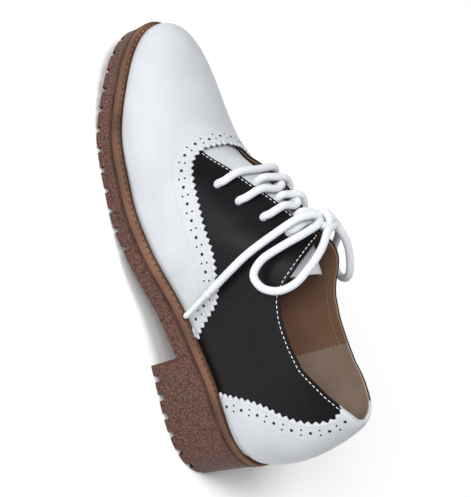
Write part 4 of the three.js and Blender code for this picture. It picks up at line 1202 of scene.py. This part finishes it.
# %% Stitches of the saddle
def topline_path(distance, lift, low, high):
    """A path inside the opening's edge, from its front corner back round the collar."""
    paths = []
    for side in SIDES:
        place = np.linspace(high, low, 900)
        edge = last_point(place, side, OPENING(place))
        by_place, by_up = last_slopes(place, side, OPENING(place))
        tangent = unit(np.gradient(edge, axis=0))
        down = np.cross(last_normal(place, side, OPENING(place)), tangent)
        down *= -np.sign(np.sum(down * by_up, -1, keepdims=True))
        new_place, new_up = slid(place, OPENING(place), (by_place, by_up), down * distance)
        points = last_point(new_place, side, new_up)
        nearest = np.min(np.linalg.norm(points[:, None] - edge[None], axis=2), axis=1)
        keep = nearest > distance * 0.96
        paths.append(on_leather(new_place[keep], new_up[keep], side, lift))
    return paths


follow("saddle_topstitch", STITCHES, topline_path(1.5, 0.05, 0.56, 1.975),
       {"Pitch": 2.9, "Length": 2.1, "Width": 0.5}, WHITE_THREAD, "white_leather")


# %% Stitches of the lining
def lining_edge(low, high, distance):
    """Just inside the rim, on the lining's own face."""
    paths = []
    for side in SIDES:
        place = np.linspace(low, high, 500)
        up = OPENING(place) - distance
        paths.append((skin(place, side, up, -2.05), -last_normal(place, side, up)))
    return paths


def lining_seam(x_mm):
    paths = []
    for side in SIDES:
        ups = np.linspace(0.03, 0.9, 60)
        dense = np.linspace(0.2, 1.4, 400)
        rows = [last_point(dense, side, up * OPENING(dense))[:, 0] for up in ups]
        place = np.array([np.interp(x_mm, xs, dense) for xs in rows])
        up = ups * OPENING(place)
        paths.append((skin(place, side, up, -2.05), -last_normal(place, side, up)))
    return paths


follow("lining_edge_stitch", STITCHES, lining_edge(0.62, 1.43, 0.045),
       {"Pitch": 2.6, "Length": 1.6, "Width": 0.4}, LINING_THREAD, "black_leather")
follow("lining_seam_stitch", STITCHES, lining_seam(SEAM_X),
       {"Pitch": 3.2, "Length": 1.3, "Width": 0.7}, LINING_THREAD, "black_leather")


# %% Brogue holes and stitches of the white panels
def band_path(edge, low, high, distance, towards, join, lift=0.0):
    paths = []
    for side in SIDES:
        place, up, _ = edge_run(edge, side, low, high, 0.6)
        place, up = shifted(place, up, side, distance, towards)
        keep = (up > EDGE_MARGIN) & ((place > 1) | (up < OPENING(place) - EDGE_MARGIN))
        place, up = place[keep], up[keep]
        paths.append(on_leather(place, up, side, panel_lift(place, up) + lift))
    if join:
        points = np.concatenate([paths[0][0], paths[1][0][-2::-1]])
        normals = np.concatenate([paths[0][1], paths[1][1][-2::-1]])
        return [(points, normals)]
    return paths


HOLES = {"Pitch": 10.2, "Large": 1.9, "Small": 1.15, "Spread": 1.7}
FAINT = {"Pitch": 1.8, "Length": 1.1, "Width": 0.24}
follow("vamp_brogueing", BROGUE, band_path(VAMP_EDGE, 0, 1, 7.0, 1, True, 0.02), HOLES, PUNCHED,
       "white_leather")
follow("counter_brogueing", BROGUE, band_path(COUNTER_EDGE, 0, COUNTER_TOP, 7.0, -1, False, 0.02), HOLES,
       PUNCHED, "white_leather")
for distance, label in ((3.0, "inner"), (12.4, "outer")):
    follow("vamp_" + label + "_stitch", STITCHES, band_path(VAMP_EDGE, 0, 1, distance, 1, True), FAINT,
           SHADED_STITCH_THREAD, "white_leather")
    follow("counter_" + label + "_stitch", STITCHES, band_path(COUNTER_EDGE, 0, COUNTER_TOP, distance, -1, False),
           FAINT, SHADED_STITCH_THREAD, "white_leather")


# %% Welt stitches
def welt_paths():
    places = np.linspace(0, 3, 900)
    points = []
    for side in SIDES:
        x, y = outline(places, side, part_way(0.6)(places))
        points.append(np.stack([x, y, feather_height(x) - GAP - 0.3], -1))
    loop = np.concatenate([points[0], points[1][-2:0:-1]])
    return [(loop, np.tile([0.0, 0.0, 1.0], (len(loop), 1)))]


follow("welt_stitches", STITCHES, welt_paths(), {"Pitch": 4.0, "Length": 1.0, "Width": 1.3}, TAN_THREAD,
       "welt_leather")


# %% [markdown]
# ## The set
# A product picture stands on a plain pale floor under soft light. One large panel lights it from
# behind the camera, a small one from low beside it and one from above, and the sky fills the shadows.

# %% Floor and lights
floor_material, _, floor_shader = new_material("matt_paper_floor", Roughness=0.9)
floor_shader.inputs["Base Color"].default_value = colour("#FCFCFC")
floor_mesh = bpy.data.meshes.new("floor")
floor_corners = [(-4, -4, -0.0002), (4, -4, -0.0002), (4, 4, -0.0002), (-4, 4, -0.0002)]
floor_mesh.from_pydata(floor_corners, [], [(0, 1, 2, 3)])
floor_mesh.materials.append(floor_material)
floor = link_object("floor", floor_mesh)


def soft_light(name, place, size, watts):
    data = bpy.data.lights.new(name, "AREA")
    data.shape = "DISK"
    data.size = size
    data.energy = watts
    light = link_object(name, data)
    light.location = place
    light.rotation_euler = (Vector((0, 0, 0.06)) - Vector(place)).to_track_quat("-Z", "Y").to_euler()


soft_light("key", (0.3, 1.6, 1.3), 1.2, 25)
soft_light("low", (0.6, 1.7, 0.4), 0.7, 4.5)
soft_light("top", (0.3, 0.75, 1.9), 0.8, 22)
world = bpy.data.worlds.new("studio")
world.use_nodes = True
world.node_tree.nodes["Background"].inputs["Color"].default_value = colour("#FFFFFF")
world.node_tree.nodes["Background"].inputs["Strength"].default_value = 0.42
bpy.context.scene.world = world
bpy.context.scene.view_settings.view_transform = "Standard"
